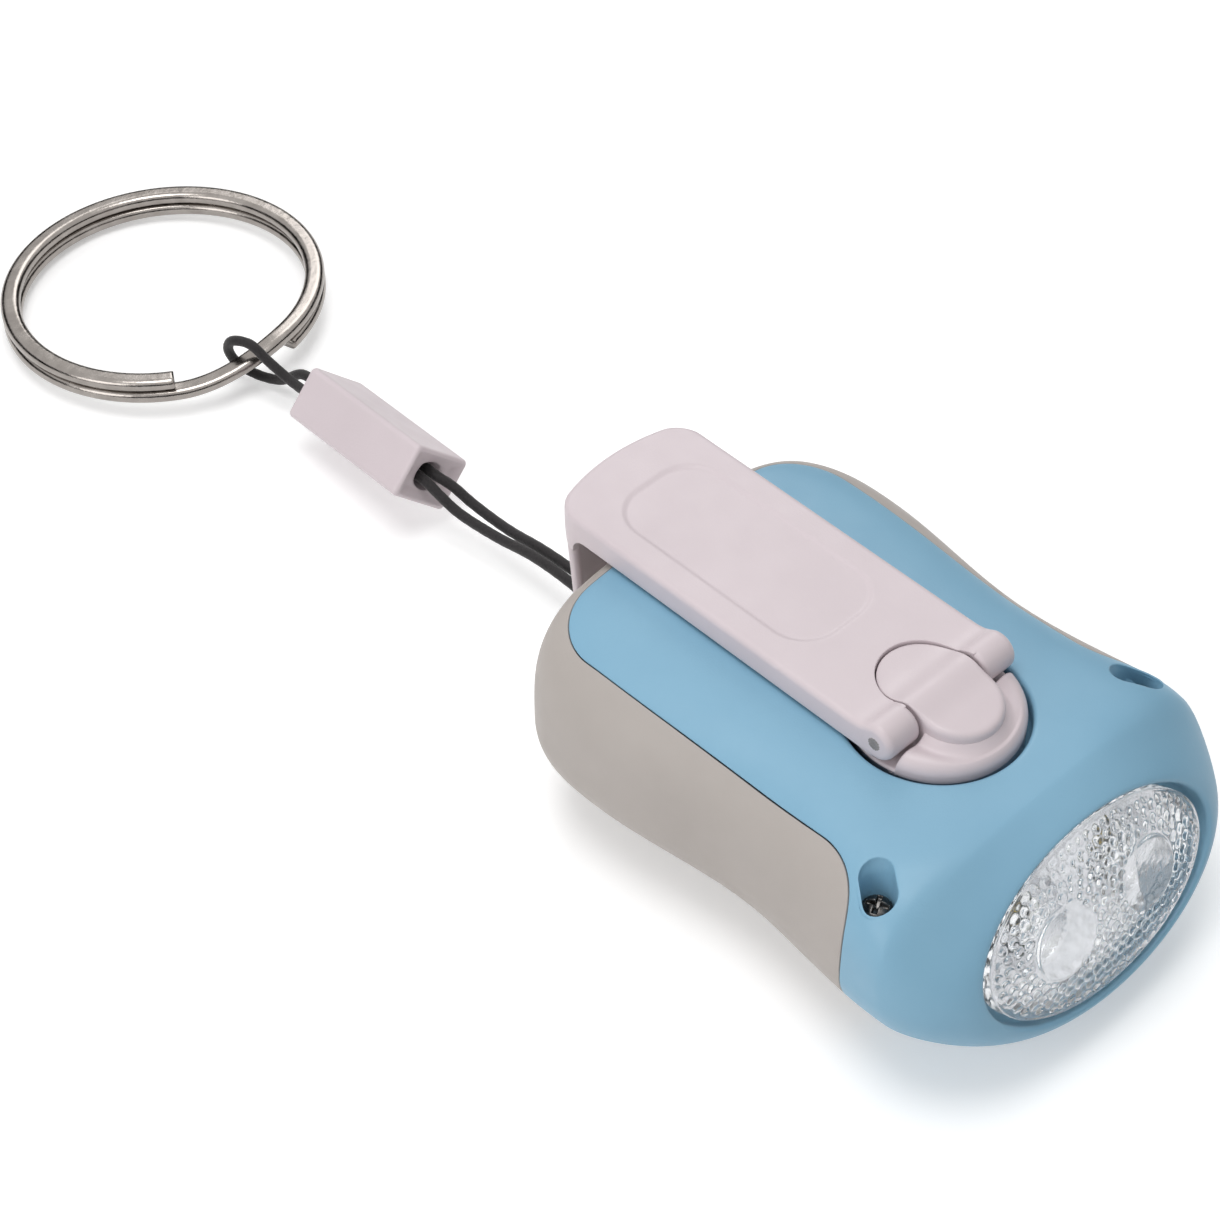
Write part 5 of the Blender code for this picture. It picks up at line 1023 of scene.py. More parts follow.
def soft_max(a, b, k):
    """log(e^ka + e^kb) / k: the larger of two, with a fillet where they meet."""
    high = np.maximum(a, b)
    return high + np.log(np.exp(k * (a - high)) + np.exp(k * (b - high))) / k


def box_field(p, half_x, y0, y1, corner):
    """Distance inside a rectangle with rounded corners, seen from above."""
    beyond = [np.abs(p[:, 0]) - half_x, np.abs(p[:, 1] - (y0 + y1) / 2.0) - (y1 - y0) / 2.0]
    return in_corner(np.stack(beyond), corner)


# %% [markdown]
# The crank's hub lies in its round recess. Its front is a crescent with a heavy roll, and
# the tongue on it is waisted like an 8: a low rear lobe, a higher front lobe and a soft
# barrel across, which the pin goes through.
# %% Crank hub
HUB_RADIUS = 7.2
HUB_BOTTOM_Z = 18.5
HUB_TOP_Z = 20.55
RIM_TOP_Z = 22.0
RIM_BACK_Y = HUB_Y - 1.85
RIM_ROLL = 1.25
RIM_EDGE = 0.25
REAR_LOBE = (3.62, 1.75)
FRONT_LOBE = (3.66, 2.1)
REAR_LOBE_Z = 23.2
FRONT_LOBE_Z = 23.55
LOBE_RAMP = 2.4
FRONT_DROP = 0.25
FRONT_DROP_REACH = 3.0
HINGE_Z = 22.57
BARREL_TOP_Z = 24.1
BARREL_SPREAD = 1.85
WAIST_BLEND = 1.4
FILLET_RISE = 0.5
FILLET_REACH = 0.8
GROOVE_DEPTH = 0.16
GROOVE_AWAY = 0.9
GROOVE_SPREAD = 0.5
TONGUE_ROLL = (0.14, 0.46)
DISC_ROLL = 0.3
SHAFT_RADIUS = 1.6


def tongue_field(p):
    """Two discs joined with a soft waist, positive inside."""
    rear = REAR_LOBE[0] - np.hypot(p[:, 0], p[:, 1] - HUB_Y - REAR_LOBE[1])
    front = FRONT_LOBE[0] - np.hypot(p[:, 0], p[:, 1] - HUB_Y + FRONT_LOBE[1])
    return soft_max(rear, front, WAIST_BLEND)


def tongue_top(p):
    """Lobes of two heights, the front one a little lower at its end, and over them the
    barrel, a swell h e^(-(y/s)^2)."""
    y = p[:, 1] - HUB_Y
    lobes = REAR_LOBE_Z + (FRONT_LOBE_Z - REAR_LOBE_Z) * smooth_step(0.5 - y / LOBE_RAMP)
    lobes = lobes - FRONT_DROP * smooth_step((-y - FRONT_DROP_REACH) / FRONT_DROP_REACH)
    return lobes + (BARREL_TOP_Z - lobes) * np.exp(-((y / BARREL_SPREAD) ** 2))


def rim_lift(p):
    """A groove round the front lobe and a fillet where the lobe rises from it."""
    away = -tongue_field(p)
    fillet = FILLET_RISE * np.clip(1.0 - away / FILLET_REACH, 0.0, 1.0) ** 2
    return fillet - GROOVE_DEPTH * np.exp(-(((away - GROOVE_AWAY) / GROOVE_SPREAD) ** 2))


tongue = slab(
    tongue_field,
    (-4.4, 4.4, HUB_Y - 6.6, HUB_Y + 6.6),
    0.09,
    tongue_top,
    HUB_TOP_Z - 0.5,
    lambda p: TONGUE_ROLL[0] + TONGUE_ROLL[1] * smooth_step((HUB_Y - p[:, 1]) / 2.0),
)
rim_rows = [(HUB_RADIUS, HUB_TOP_Z - 0.4)]
rim_rows += corner_arc(HUB_RADIUS - RIM_ROLL, RIM_TOP_Z - RIM_ROLL, RIM_ROLL, 0.0, 90.0, 14)
rim_rows += [(r, RIM_TOP_Z) for r in np.arange(HUB_RADIUS - RIM_ROLL - 0.12, 0.05, -0.12)]
points, triangles = lathe(rim_rows, (0.0, HUB_Y, 0.0), count=256)
points[:, 2] += rim_lift(points) * (points[:, 2] > RIM_TOP_Z - 0.2)
rim_wall = down_to(HUB_TOP_Z - 0.4, 0.5)
crescent = rolled((points, triangles), lambda p: RIM_BACK_Y - p[:, 1], RIM_EDGE, rim_wall, DOWN)
disc_rows = [(NEAR_AXIS, HUB_BOTTOM_Z), (HUB_RADIUS - 0.2, HUB_BOTTOM_Z)]
disc_rows += [(HUB_RADIUS, HUB_BOTTOM_Z + 0.2), (HUB_RADIUS, HUB_TOP_Z - DISC_ROLL)]
disc_rows += corner_arc(HUB_RADIUS - DISC_ROLL, HUB_TOP_Z - DISC_ROLL, DISC_ROLL, 0.0, 90.0)
disc_rows += [(NEAR_AXIS, HUB_TOP_Z)]
disc = lathe(disc_rows, (0.0, HUB_Y, 0.0), count=128)
shaft_rows = [(NEAR_AXIS, 14.9), (SHAFT_RADIUS, 14.9), (SHAFT_RADIUS, 16.7)]
shaft_rows += [(2.0, 16.7), (2.0, 19.0), (NEAR_AXIS, 19.0)]
shaft = lathe(shaft_rows, (0.0, HUB_Y, 0.0), count=40)
hub = make_mesh("crank_hub_moulding", *join_shells(tongue, crescent, disc, shaft))
finish_piece(hub, pink_plastic, "crank", "pink_plastic", "crank_hub")
print("hub triangles", len(hub.data.polygons))

# %% [markdown]
# The folding lever is a thin plate with a bowed rear edge, a shallow pad that a thumb
# finds, and a long lip that hooks down behind the light. The plate swells into the two
# knuckles, and its cut-out follows the hub's tongue with a hairline gap.
# %% Crank lever
LEVER_HALF = 7.5
LEVER_REAR_Y = 29.0
LEVER_BOW = 1.6
LEVER_CORNER = 2.2
LEVER_BOTTOM_Z = 21.1
LEVER_TOP_Z = 23.45
LEVER_ROLL = 0.6
KNUCKLE_RADIUS = 1.72
KNUCKLE_INNER = 3.92
KNUCKLE_SPREAD = 1.3
TONGUE_GAP = 0.12
LIP_THICKNESS = 1.6
LIP_BOTTOM_Z = 11.5
LIP_LEAN = 1.1
LIP_FILLET = 1.6
LIP_ROLL = 0.45
PAD = (4.9, 1.7, 24.2, 3.5)
PAD_DEPTH = 0.15
PAD_SLOPE = 0.6
UNDER_KNUCKLE = 0.002
BARREL_ROOM = 1.3
CUT_ROLL = 0.1
KNUCKLE_ROLL = 0.45
KNUCKLE_HOLE = 0.7
PLATE_STEP = 0.13


def rear_edge(x):
    """y of the bowed end, an arc whose height over its chord is the bow."""
    r = (LEVER_HALF**2 + LEVER_BOW**2) / (2.0 * LEVER_BOW)
    return LEVER_REAR_Y - r + np.sqrt(r**2 - np.minimum(np.abs(x), LEVER_HALF) ** 2)


def lever_plan(p):
    """Straightening the bow by y + rear(0) - rear(x) makes the plan a rounded box."""
    straight = np.column_stack([p[:, 0], p[:, 1] + LEVER_REAR_Y - rear_edge(p[:, 0])])
    return box_field(straight, LEVER_HALF, -60.0, LEVER_REAR_Y, LEVER_CORNER)


def plate_field(p):
    """The plan, behind the hinge line, outside the tongue and the barrel's room."""
    inner = np.where(p[:, 1] < HUB_Y + BARREL_ROOM, np.abs(p[:, 0]) - KNUCKLE_INNER, FAR)
    room = np.minimum(-tongue_field(p) - TONGUE_GAP, inner)
    return np.minimum(np.minimum(lever_plan(p), p[:, 1] - HUB_Y + 0.1), room)


def plate_top(p):
    """The pad's dip, and in front of it a swell h e^(-(y/s)^2) that ends in the knuckles,
    just under their own surface."""
    y = p[:, 1] - HUB_Y
    side = smooth_step((np.abs(p[:, 0]) - KNUCKLE_INNER + 1.6) / 1.6)
    swell = (HINGE_Z + KNUCKLE_RADIUS - LEVER_TOP_Z) * side * np.exp(-((y / KNUCKLE_SPREAD) ** 2))
    dip = PAD_DEPTH * smooth_step(box_field(p, *PAD) / PAD_SLOPE + 0.5)
    return LEVER_TOP_Z - dip + swell - UNDER_KNUCKLE


def plate_low(p):
    """The plate's underside, which follows the knuckles and has a fillet at the lip."""
    y = p[:, 1] - HUB_Y
    knuckle = HINGE_Z - np.sqrt(np.maximum(KNUCKLE_RADIUS**2 - y**2, 0.0))
    knuckle = np.where(np.abs(p[:, 0]) > KNUCKLE_INNER - 0.3, knuckle, FAR)
    into = np.clip(1.0 - (rear_edge(p[:, 0]) - LIP_THICKNESS - p[:, 1]) / LIP_FILLET, 0.0, 1.0)
    fillet = LIP_FILLET * (1.0 - np.sqrt(1.0 - into**2))
    return np.minimum(knuckle, LEVER_BOTTOM_Z - fillet)


def lean_in(p):
    """Shears the lip towards the light as it goes down."""
    p = p.copy()
    share = np.clip((LEVER_BOTTOM_Z - p[:, 2]) / (LEVER_BOTTOM_Z - LIP_BOTTOM_Z), 0.0, 1.0)
    p[:, 1] -= LIP_LEAN * share
    return p

# %% [markdown]
# The lever is four closed shells that overlap inside: the plate, the lip, and a turned
# knuckle at each end of the pin. Plate and lip are sheared by one rule, so that they
# still meet where the lip leans in.
# %% Lever moulding
plate, plate_faces = slab(
    plate_field,
    (-7.7, 7.7, HUB_Y - 0.4, LEVER_REAR_Y + 0.3),
    PLATE_STEP,
    plate_top,
    plate_low,
    lambda p: CUT_ROLL + (LEVER_ROLL - CUT_ROLL) * smooth_step((-tongue_field(p) - 0.7) / 1.2),
    foot=CUT_ROLL,
)
lip, lip_faces = slab(
    lambda p: np.minimum(lever_plan(p) - 0.02, p[:, 1] - rear_edge(p[:, 0]) + LIP_THICKNESS),
    (-7.7, 7.7, LEVER_REAR_Y - 5.0, LEVER_REAR_Y + 0.3),
    PLATE_STEP,
    LEVER_BOTTOM_Z + 1.0,
    LIP_BOTTOM_Z,
    LIP_ROLL,
    foot=LIP_ROLL,
)
shells = [(lean_in(plate), plate_faces), (lean_in(lip), lip_faces)]
for side in (-1.0, 1.0):
    inner, outer, r = KNUCKLE_INNER, LEVER_HALF + 0.01, KNUCKLE_RADIUS
    profile = [(NEAR_AXIS, inner), (KNUCKLE_HOLE, inner)]
    profile += corner_arc(r - KNUCKLE_ROLL, inner + KNUCKLE_ROLL, KNUCKLE_ROLL, -90.0, 0.0)
    profile += corner_arc(r - LEVER_ROLL, outer - LEVER_ROLL, LEVER_ROLL, 0.0, 90.0, 9)
    profile += [(NEAR_AXIS, outer)]
    knuckle, faces = lathe(profile, (0.0, 0.0, 0.0), axis=0, count=72)
    knuckle[:, 0] *= side
    shells.append((knuckle + [0.0, HUB_Y, HINGE_Z], faces if side > 0 else faces[:, ::-1]))
lever = make_mesh("lever_moulding", *join_shells(*shells))
finish_piece(lever, pink_plastic, "lever", "pink_plastic", "crank_lever")
print("lever triangles", len(lever.data.polygons))

# %% [markdown]
# The pin's ends show in the knuckles as small discs of dull steel with a waved edge. Each
# is a thin slab, made flat and then laid on its side.
# %% Hinge pin
PIN_RADIUS = 0.5
PIN_HEAD = 0.6
PIN_HALF = 7.2
PIN_FACE = 7.52
KNURLS = 14.0
PIN_STEP = 0.045


def pin_outline(p):
    """A disc whose radius waves with the angle, R / (1 + 0.05 cos(n a))."""
    angle = np.arctan2(p[:, 1], p[:, 0])
    return PIN_HEAD - np.hypot(p[:, 0], p[:, 1]) * (1.0 + 0.05 * np.cos(KNURLS * angle))


pin_rows = [(NEAR_AXIS, -PIN_HALF), (PIN_RADIUS, -PIN_HALF)]
pin_rows += [(PIN_RADIUS, PIN_HALF), (NEAR_AXIS, PIN_HALF)]
pin_shells = [lathe(pin_rows, (0.0, HUB_Y, HINGE_Z), axis=0)]
for side in (-1.0, 1.0):
    face, cells = slab(
        pin_outline,
        (-0.9, 0.9, -0.9, 0.9),
        PIN_STEP,
        lambda p: PIN_FACE + 0.012 * np.sin(22.0 * p[:, 0]) * np.sin(22.0 * p[:, 1]),
        PIN_HALF - 0.15,
        0.05,
        foot=0.03,
    )
    face = face[:, [2, 0, 1]] * [side, 1.0, 1.0]
    pin_shells.append((face + [0.0, HUB_Y, HINGE_Z], cells if side > 0 else cells[:, ::-1]))
pin = make_mesh("hinge_pin_ends", *join_shells(*pin_shells))
pin_look = grained_look(
    "dull_pin_steel", (2600.0, 3.0), (138, 128, 124), (164, 152, 148), (0.35, 0.55), Metallic=0.35
)
finish_piece(pin, pin_look, "lever", "steel", "hinge_pin")
print("pin triangles", len(pin.data.polygons))

# %% [markdown]
# The case screws are black pan heads with a cross cut into them. The head is a slab
# whose top height is the dome z = z0 + h sqrt(1 - r^2 / R^2), less the cross, which is
# deepest in the middle. Below it a turned profile with ridges stands for the thread.
# %% Case screws
black_steel = grained_look(
    "black_screw_steel",
    (1800.0, 3.0),
    (34, 33, 33),
    (108, 106, 104),
    (0.16, 0.34),
    relief=(0.00003,),
    Metallic=0.9,
)
SCREW_HEAD = 1.28
SCREW_HEAD_Z = 16.1
SCREW_DOME = 0.85
CROSS_ARM = 0.2
CROSS_REACH = 0.88
CROSS_DEPTH = 0.75
CROSS_TAPER = 0.45
HEAD_EDGE = 0.34
FINE_STEP = 0.045


def screw_head(turned_by):
    """The dome with a tapered cross, turned by an angle."""

    def top(p):
        r = np.hypot(p[:, 0], p[:, 1])
        c, s = math.cos(turned_by), math.sin(turned_by)
        u, v = np.abs(p[:, 0] * c + p[:, 1] * s), np.abs(p[:, 1] * c - p[:, 0] * s)
        arm = np.minimum(CROSS_ARM - np.minimum(u, v), CROSS_REACH - np.maximum(u, v))
        depth = (CROSS_DEPTH - CROSS_TAPER * r / CROSS_REACH) * smooth_step(arm / 0.1 + 0.5)
        dome = SCREW_DOME * np.sqrt(np.maximum(1.0 - (r / (SCREW_HEAD * 1.04)) ** 2, 0.0))
        return SCREW_HEAD_Z + HEAD_EDGE + dome - depth

    return slab(
        lambda p: SCREW_HEAD - np.hypot(p[:, 0], p[:, 1]),
        (-1.5, 1.5, -1.5, 1.5),
        FINE_STEP,
        top,
        SCREW_HEAD_Z,
        0.05,
        foot=0.04,
    )


THREAD_RADII = (0.66, 0.85)
screw_thread = [(NEAR_AXIS, -5.6), (0.4, -5.6), (0.8, -4.8)]
screw_thread += [(THREAD_RADII[k % 2], -4.8 + 0.2 * k) for k in range(1, 24)]
screw_thread += [(0.7, 0.05), (NEAR_AXIS, 0.05)]
for name, node, side, angle in (
    ("screw_left", "case_screw_left", -1.0, 0.45),
    ("screw_right", "case_screw_right", 1.0, 1.1),
):
    head, cells = screw_head(angle)
    thread, thread_cells = lathe(screw_thread, (0.0, 0.0, SCREW_HEAD_Z), count=32)
    points, cells = join_shells((head, cells), (thread, thread_cells))
    screw = make_mesh(name, points + [side * SCREW_AT[0], SCREW_AT[1], 0.0], cells)
    finish_piece(screw, black_steel, "housing", "black_steel", node)
    print(name, "triangles", len(cells))

# %% [markdown]
# The button is turned: a shallow dish for the fingertip, a rounded edge, and a flange
# inside the case that keeps it from falling out.
# %% Belly button
button_rows = [(NEAR_AXIS, 0.35), (1.2, 0.4), (2.3, 0.35)] + corner_arc(2.75, 0.7, 0.35, -90.0, 0.0)
button_rows += [(3.1, 1.5), (3.9, 1.5), (3.9, 1.9), (NEAR_AXIS, 1.9)]
button = make_mesh("belly_button", *lathe(button_rows, (0.0, BUTTON_Y, 0.0), count=96))
finish_piece(button, pink_plastic, "button", "pink_plastic", "push_button")
print("button triangles", len(button.data.polygons))

# %% [markdown]
# The lamp is what draws the eye. Its clear cover is one slab in the tilted frame of the
# lens: a smooth flange, a field of small round pebbles in rows, and two plain windows
# that stand proud like short tubes. Light goes through it to the silvered bowls behind.
# %% Lens
LENS_END = 12.6
LENS_SUNK = 0.2
LENS_DOME = 1.35
LENS_THICKNESS = 1.4
FLANGE = 0.3
WINDOW_X = 5.14
WINDOW_RADIUS = 2.95
WINDOW_RISE = 0.45
WINDOW_CROWN = 0.35
PEBBLE_PITCH = np.array([1.02, 0.92])
PEBBLE_RADIUS = 0.42
PEBBLE_RISE = 0.28
PEBBLE_WANDER = 0.1


def lens_dome(p):
    """d (1 - rho^2) over the field inside the flange, with rho the share of its size."""
    rho = np.hypot(p[:, 0] / (LENS_END - FLANGE), p[:, 1] / (LENS_HALF[1] - FLANGE))
    return -LENS_SUNK + LENS_DOME * (1.0 - np.minimum(rho, 1.0) ** 2)


def lens_front(p):
    """Dome, plus a lattice of pebbles h (1 - (r/R)^4)^(1/2), plus the two windows. Sines
    whose rates don't match move and size each pebble, in place of chance."""
    row = np.round(p[:, 1] / PEBBLE_PITCH[1])
    shift = 0.5 * (row % 2.0) + 0.13 * np.sin(2.3 * row)
    cell = np.round(p[:, 0] / PEBBLE_PITCH[0] - shift) + shift
    wave = np.stack([np.sin(7.1 * cell + 3.7 * row), np.cos(5.3 * cell - 4.1 * row)])
    wander = PEBBLE_WANDER * wave
    r = np.hypot(
        p[:, 0] - cell * PEBBLE_PITCH[0] - wander[0], p[:, 1] - row * PEBBLE_PITCH[1] - wander[1]
    )
    size = PEBBLE_RADIUS * (1.0 + 0.14 * np.sin(3.1 * cell + 1.7 * row))
    pebble = PEBBLE_RISE * np.sqrt(np.maximum(1.0 - (r / size) ** 4, 0.0))
    inside = ellipse_field(p, LENS_END - FLANGE, LENS_HALF[1] - FLANGE)
    near = np.hypot(np.abs(p[:, 0]) - WINDOW_X, p[:, 1])
    pebble = pebble * smooth_step(inside / 0.4) * smooth_step((near - WINDOW_RADIUS - 0.3) / 0.3)
    crown = WINDOW_CROWN * (1.0 - np.minimum(near / WINDOW_RADIUS, 1.0) ** 2)
    window = WINDOW_CROWN + WINDOW_RISE + crown
    tube = smooth_step((WINDOW_RADIUS - near) / 0.25 + 0.5)
    dome = lens_dome(p)
    return dome + pebble + np.maximum(window - dome, 0.0) * tube


points, triangles = slab(
    lambda p: ellipse_field(p, LENS_END, LENS_HALF[1]),
    (-13.4, 13.4, -7.6, 7.6),
    0.1,
    lens_front,
    lambda p: lens_dome(p) - LENS_THICKNESS,
    0.2,
)
clear_look, tree, shader = new_material(
    "pebbled_clear_plastic", Transmission_Weight=0.96, IOR=1.42, Base_Color=(0.97, 0.98, 0.99, 1.0)
)
haze = object_noise(tree, 500.0, 3.0)
drive(tree, shader, Roughness=remap(tree, haze, 0.0, 0.05))
drive(tree, shader, Normal=bump(tree, object_noise(tree, 1600.0, 2.0), 0.00002))
lens = make_mesh("pebbled_lens", lens_to_world(*points.T), triangles)
finish_piece(lens, clear_look, "housing", "clear_plastic", "lens")
print("lens triangles", len(lens.data.polygons))

# %% [markdown]
# Behind it lies the silvered plate. Each bowl narrows along an ellipse down to the hole
# that the LED stands in. The plate is mirror bright, and only its roughness drifts.
# %% Reflector
REFLECTOR_HALF = (12.2, 7.1)
REFLECTOR_OUT = -2.6
BOWL_MOUTH = 3.5
BOWL_THROAT = 2.62
BOWL_DEPTH = 2.3
LED_AT = np.array([5.15, 12.0])
SILVER_WALL = 0.7
LED_UP = (LED_AT[1] - LENS_Z) / math.cos(LENS_TILT)
BOWL_UP = LED_UP + 0.9


def bowl_reach(p):
    """Distance from the nearer LED's axis, seen from the front."""
    return np.hypot(np.abs(p[:, 0]) - LED_AT[0], (p[:, 1] - BOWL_UP) * math.cos(LENS_TILT))


def reflector_front(p):
    """The plate, and in each bowl a depth D (1 - (r/R)^2)^(1/2)."""
    r = bowl_reach(p)
    bowl = BOWL_DEPTH * np.sqrt(np.maximum(1.0 - (r / BOWL_MOUTH) ** 2, 0.0))
    return REFLECTOR_OUT - bowl


points, triangles = slab(
    lambda p: np.minimum(ellipse_field(p, *REFLECTOR_HALF), bowl_reach(p) - BOWL_THROAT),
    (-13.0, 13.0, -7.2, 7.2),
    0.12,
    reflector_front,
    lambda p: reflector_front(p) - SILVER_WALL,
    0.08,
    foot=0.05,
)
silver_look = grained_look(
    "silvered_plastic", (260.0, 3.0), (226, 227, 230), (244, 244, 246), (0.14, 0.24), Metallic=1.0
)
silvered = make_mesh("silvered_reflector", lens_to_world(*points.T), triangles)
finish_piece(silvered, silver_look, "housing", "silvered_plastic", "reflector")
print("reflector triangles", len(silvered.data.polygons))

# %% [markdown]
# An LED is clear resin round a small metal frame with a yellow phosphor dot. The resin
# is a turned profile. The frame inside it is turned too, and the dot is painted on by
# its distance along Y, so that it needs no piece of its own.
# %% LEDs
LED_BASE_Y = -19.0
LED_RADIUS = 2.4
LED_LENGTH = 5.0
LED_FLANGE = 2.7
LED_DOME = 1.68
epoxy_look, tree, shader = new_material(
    "clear_led_epoxy", Transmission_Weight=1.0, IOR=1.5, Base_Color=(0.98, 0.98, 0.94, 1.0)
)
drive(tree, shader, Roughness=remap(tree, object_noise(tree, 600.0), 0.0, 0.06))
frame_look, tree, shader = new_material("led_frame_and_phosphor", Roughness=0.35)
where = add_node(tree, "ShaderNodeTexCoord").outputs["Object"]
split = add_node(tree, "ShaderNodeSeparateXYZ", {"Vector": where})
dot = remap(tree, split.outputs["Y"], 1.0, 0.0, -0.02105, -0.02095)
tinned = blend(tree, object_noise(tree, 2400.0), rgb(120, 120, 122), rgb(176, 176, 178))
drive(tree, shader, Base_Color=blend(tree, dot, tinned, rgb(226, 200, 96)))
drive(tree, shader, Metallic=remap(tree, dot, 0.85, 0.0, 0.0, 1.0))
led_rows = [(NEAR_AXIS, 0.0), (LED_FLANGE, 0.0), (LED_FLANGE, 0.8), (LED_RADIUS, 0.85)]
led_rows += [(LED_RADIUS, h) for h in (1.6, 2.4, 3.2)]
led_rows += [
    (LED_RADIUS * math.cos(t), LED_LENGTH - LED_DOME * (1.0 - math.sin(t)))
    for t in np.radians(np.linspace(0.0, 89.0, 12))
]
core_rows = [(NEAR_AXIS, 0.3), (0.5, 0.3), (0.5, 1.2), (0.95, 1.6)]
core_rows += [(0.95, 2.1), (0.6, 1.9), (0.5, 2.1), (NEAR_AXIS, 2.1)]
for name, node, side in (("led_dome_left", "led_left", -1.0), ("led_dome_right", "led_right", 1.0)):
    here = np.array([side * LED_AT[0], LED_BASE_Y, LED_AT[1]])
    dome, cells = lathe(led_rows, (0.0, 0.0, 0.0), axis=1, count=64)
    led = make_mesh(name, dome * [1.0, -1.0, 1.0] + here, cells[:, ::-1])
    finish_piece(led, epoxy_look, "housing", "led_epoxy", node)
    core, cells = lathe(core_rows, (0.0, 0.0, 0.0), axis=1, count=32)
    core = make_mesh(name + "_core", core * [1.0, -1.0, 1.0] + here, cells[:, ::-1])
    finish_piece(core, frame_look, "housing", "steel")
    print(name, "triangles", len(led.data.polygons), "and", len(cells), "in its core")

# %% [markdown]
# The works inside keep the model's own shapes, and get the finish of what they are. Each
# kind has its two colours, its roughness, its grain and how metallic it is, and one table
# says which pieces are made of it.
# %% Finish of the works inside
WORKS_RELIEF = (0.00002,)
WOUND_RELIEF = 0.00006
BAND_PERIOD = 0.314


def plain_look(name, one, two, rough, scale, metal=0.0, stretch=(1.0, 1.0, 1.0)):
    """A grained look whose roughness varies by 0.08 either way."""
    span = (rough - 0.08, rough + 0.08)
    return grained_look(name, (scale, 4.0, stretch), one, two, span, WORKS_RELIEF, Metallic=metal)


def wound_look(name, one, two, axis, pitch):
    """Bands across an axis, for enamelled wire and for stacked iron sheets. The wave's
    own period, at a scale of 1, is divided by the pitch that is wanted."""
    made, tree, shader = new_material(name, Metallic=0.8, Roughness=0.3)
    where = add_node(tree, "ShaderNodeTexCoord").outputs["Object"]
    wave = add_node(
        tree,
        "ShaderNodeTexWave",
        {"Vector": where, "Scale": BAND_PERIOD / (pitch * MM), "Distortion": 0.6, "Detail": 2.0},
        bands_direction=axis,
    ).outputs["Fac"]
    drive(tree, shader, Base_Color=blend(tree, wave, rgb(*one), rgb(*two)))
    drive(tree, shader, Normal=bump(tree, wave, WOUND_RELIEF))
    return made


nylon = plain_look("white_gear_nylon", (214, 212, 203), (230, 228, 220), 0.45, 700.0)
black_moulding = plain_look("black_moulding", (28, 28, 29), (44, 44, 46), 0.5, 900.0)
magnet_look = plain_look("sintered_magnet", (84, 84, 88), (112, 112, 116), 0.42, 1500.0, metal=0.8)
board_look = plain_look(
    "green_circuit_board", (18, 84, 44), (34, 118, 62), 0.35, 450.0, stretch=(1.0, 3.0, 1.0)
)
red_lead = plain_look("red_lead_sleeve", (168, 28, 26), (190, 40, 36), 0.5, 900.0)
black_lead = plain_look("black_lead_sleeve", (26, 26, 27), (40, 40, 42), 0.5, 900.0)
steel_look = plain_look(
    "bright_steel", (178, 177, 174), (212, 211, 208), 0.3, 900.0, 1.0, stretch=(1.0, 1.0, 0.12)
)
copper_look = wound_look("enamelled_copper", (150, 72, 34), (206, 116, 62), "X", 0.18)
iron_look = wound_look("stacked_iron_sheets", (116, 116, 118), (158, 158, 160), "Z", 0.35)
works = {
    nylon: "drive_gear gear_1 gear_2 rotor_pinion",
    black_moulding: "gear_plate coil_bobbin push_switch switch_plunger",
    magnet_look: "rotor_magnet",
    board_look: "led_board circuit_board",
    red_lead: "led_lead_right",
    black_lead: "led_lead_left",
    copper_look: "coil_winding coil_lead_left coil_lead_right",
    iron_look: "stator_yoke",
    cord_look: "cord_knot",
    steel_look: "drive_gear_screw gear_axle_1 gear_axle_2 rotor_axle rechargeable_cell "
    "cell_contact_lower cell_contact_upper",
}
finished = 0
for look, names in works.items():
    for name in names.split():
        finished += 1
        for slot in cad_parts[name].material_slots:
            slot.material = look
print("finished", finished, "nodes of the works")

# %% [markdown]
# A plain pale floor and three soft lamps are enough for plastic of this kind. The floor
# looks white to the camera and in reflections, but it still catches a shadow. A dark
# cloth stands round the table, out of the picture, so that bright metal has something
# dark to mirror.
# %% Floor and light
LAMP_TARGET = np.array([0.0, 25.0, 5.0])


def soft_lamp(name, place, size, watts):
    """A round area lamp that shines on the middle of the table."""
    data = bpy.data.lights.new(name, "AREA")
    data.shape = "DISK"
    data.size = size * MM
    data.energy = watts
    aim(link(bpy.data.objects.new(name, data)), place, LAMP_TARGET)


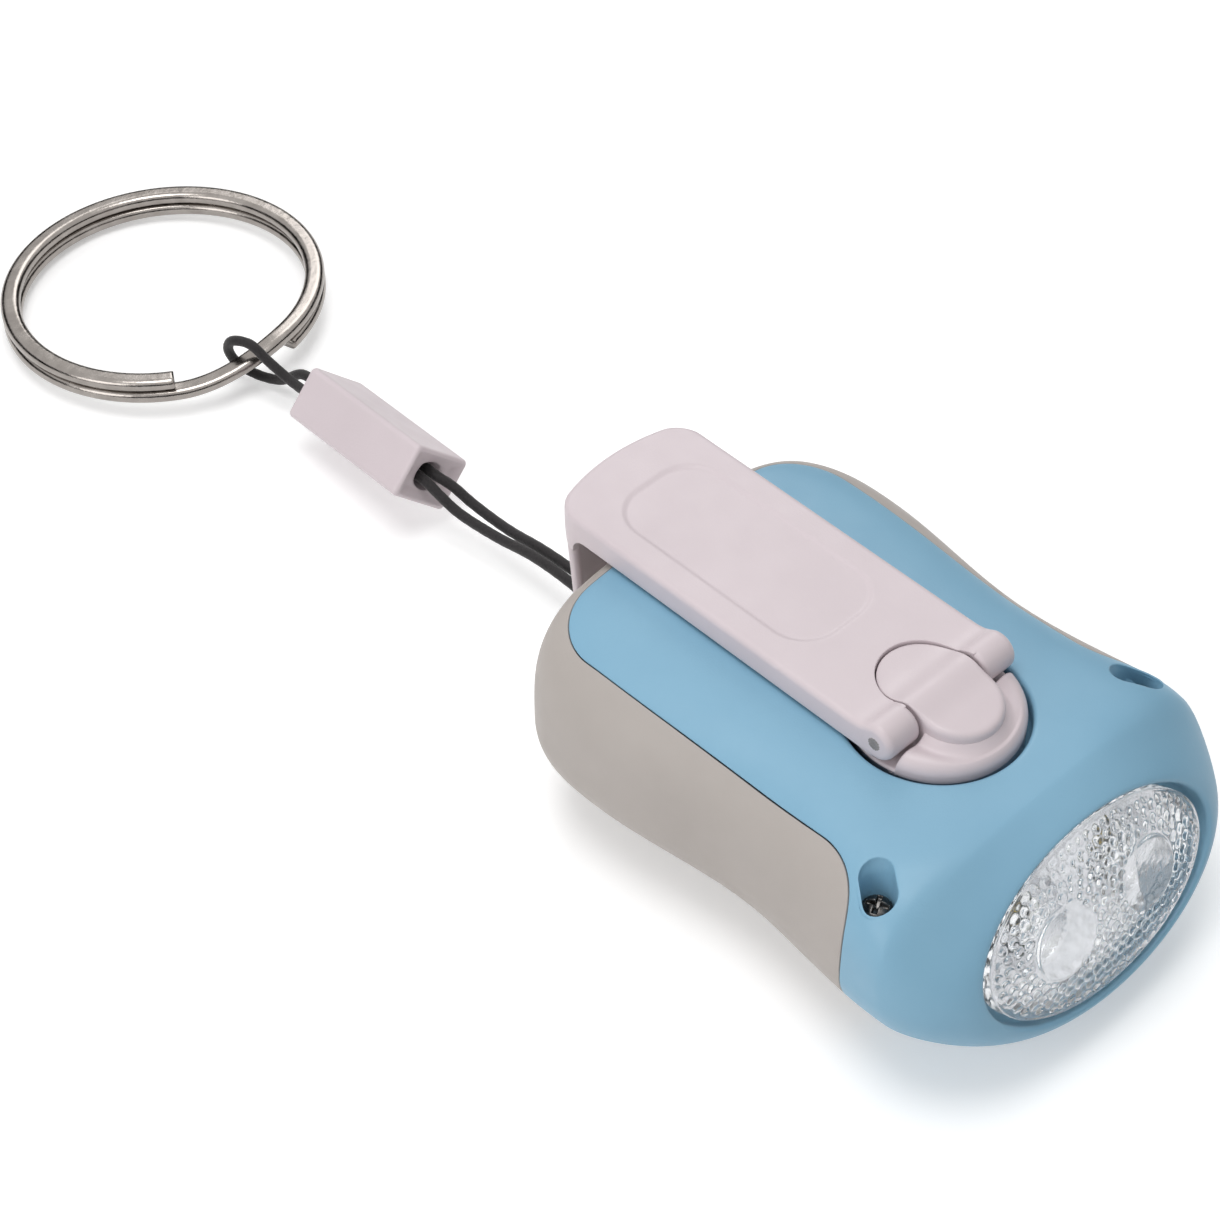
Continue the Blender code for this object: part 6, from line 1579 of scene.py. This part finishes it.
def seen_directly(tree):
    """1 for rays from the camera, or by way of a mirror or clear plastic, else 0."""
    path = add_node(tree, "ShaderNodeLightPath")
    seen = path.outputs["Is Camera Ray"]
    for kind in ("Is Glossy Ray", "Is Transmission Ray"):
        both = {0: seen, 1: path.outputs[kind]}
        seen = add_node(tree, "ShaderNodeMath", both, operation="MAXIMUM").outputs[0]
    return seen


WORLD_LIGHT = 0.4
soft_lamp("key_lamp", (-60.0, 40.0, 450.0), 260.0, 0.88)
soft_lamp("fill_lamp", (-420.0, 60.0, 200.0), 300.0, 0.58)
soft_lamp("rear_lamp", (300.0, 330.0, 320.0), 260.0, 0.45)
world = bpy.data.worlds.new("studio")
bpy.context.scene.world = world
world.use_nodes = True
backdrop = world.node_tree.nodes["Background"]
backdrop.inputs["Color"].default_value = (1.0, 1.0, 1.0, 1.0)
world.node_tree.links.new(
    remap(world.node_tree, seen_directly(world.node_tree), WORLD_LIGHT, 1.0, 0.0, 1.0),
    backdrop.inputs["Strength"],
)
bpy.context.scene.view_settings.view_transform = "Standard"
FLOOR = 3000.0
FLOOR_Z = -0.02
FLOOR_GLOW = 0.3
FLAG_RADIUS = 700.0
FLAG_HEIGHT = 330.0
corners = [[x * FLOOR, y * FLOOR, FLOOR_Z] for x, y in ((-1, -1), (1, -1), (1, 1), (-1, 1))]
floor = make_mesh("floor", np.array(corners), np.array([[0, 1, 2, 3]]))
floor_look, tree, shader = new_material(
    "pale_table",
    Roughness=0.9,
    Specular_IOR_Level=0.1,
    Base_Color=(0.9, 0.9, 0.9, 1.0),
    Emission_Color=(1.0, 1.0, 1.0, 1.0),
)
glow = remap(tree, seen_directly(tree), 0.0, FLOOR_GLOW, 0.0, 1.0)
drive(tree, shader, Emission_Strength=glow)
floor.data.materials.append(floor_look)

flag_rows = [(FLAG_RADIUS, 0.0), (FLAG_RADIUS, FLAG_HEIGHT)]
flag = make_mesh("dark_flag", *lathe(flag_rows, (0.0, 40.0, 0.0)))
flag_look, tree, shader = new_material(
    "matt_black_cloth", Roughness=1.0, Specular_IOR_Level=0.0, Base_Color=rgb(20, 20, 21)
)
flag.data.materials.append(flag_look)
flag.visible_camera = flag.visible_diffuse = flag.visible_shadow = flag.visible_transmission = False
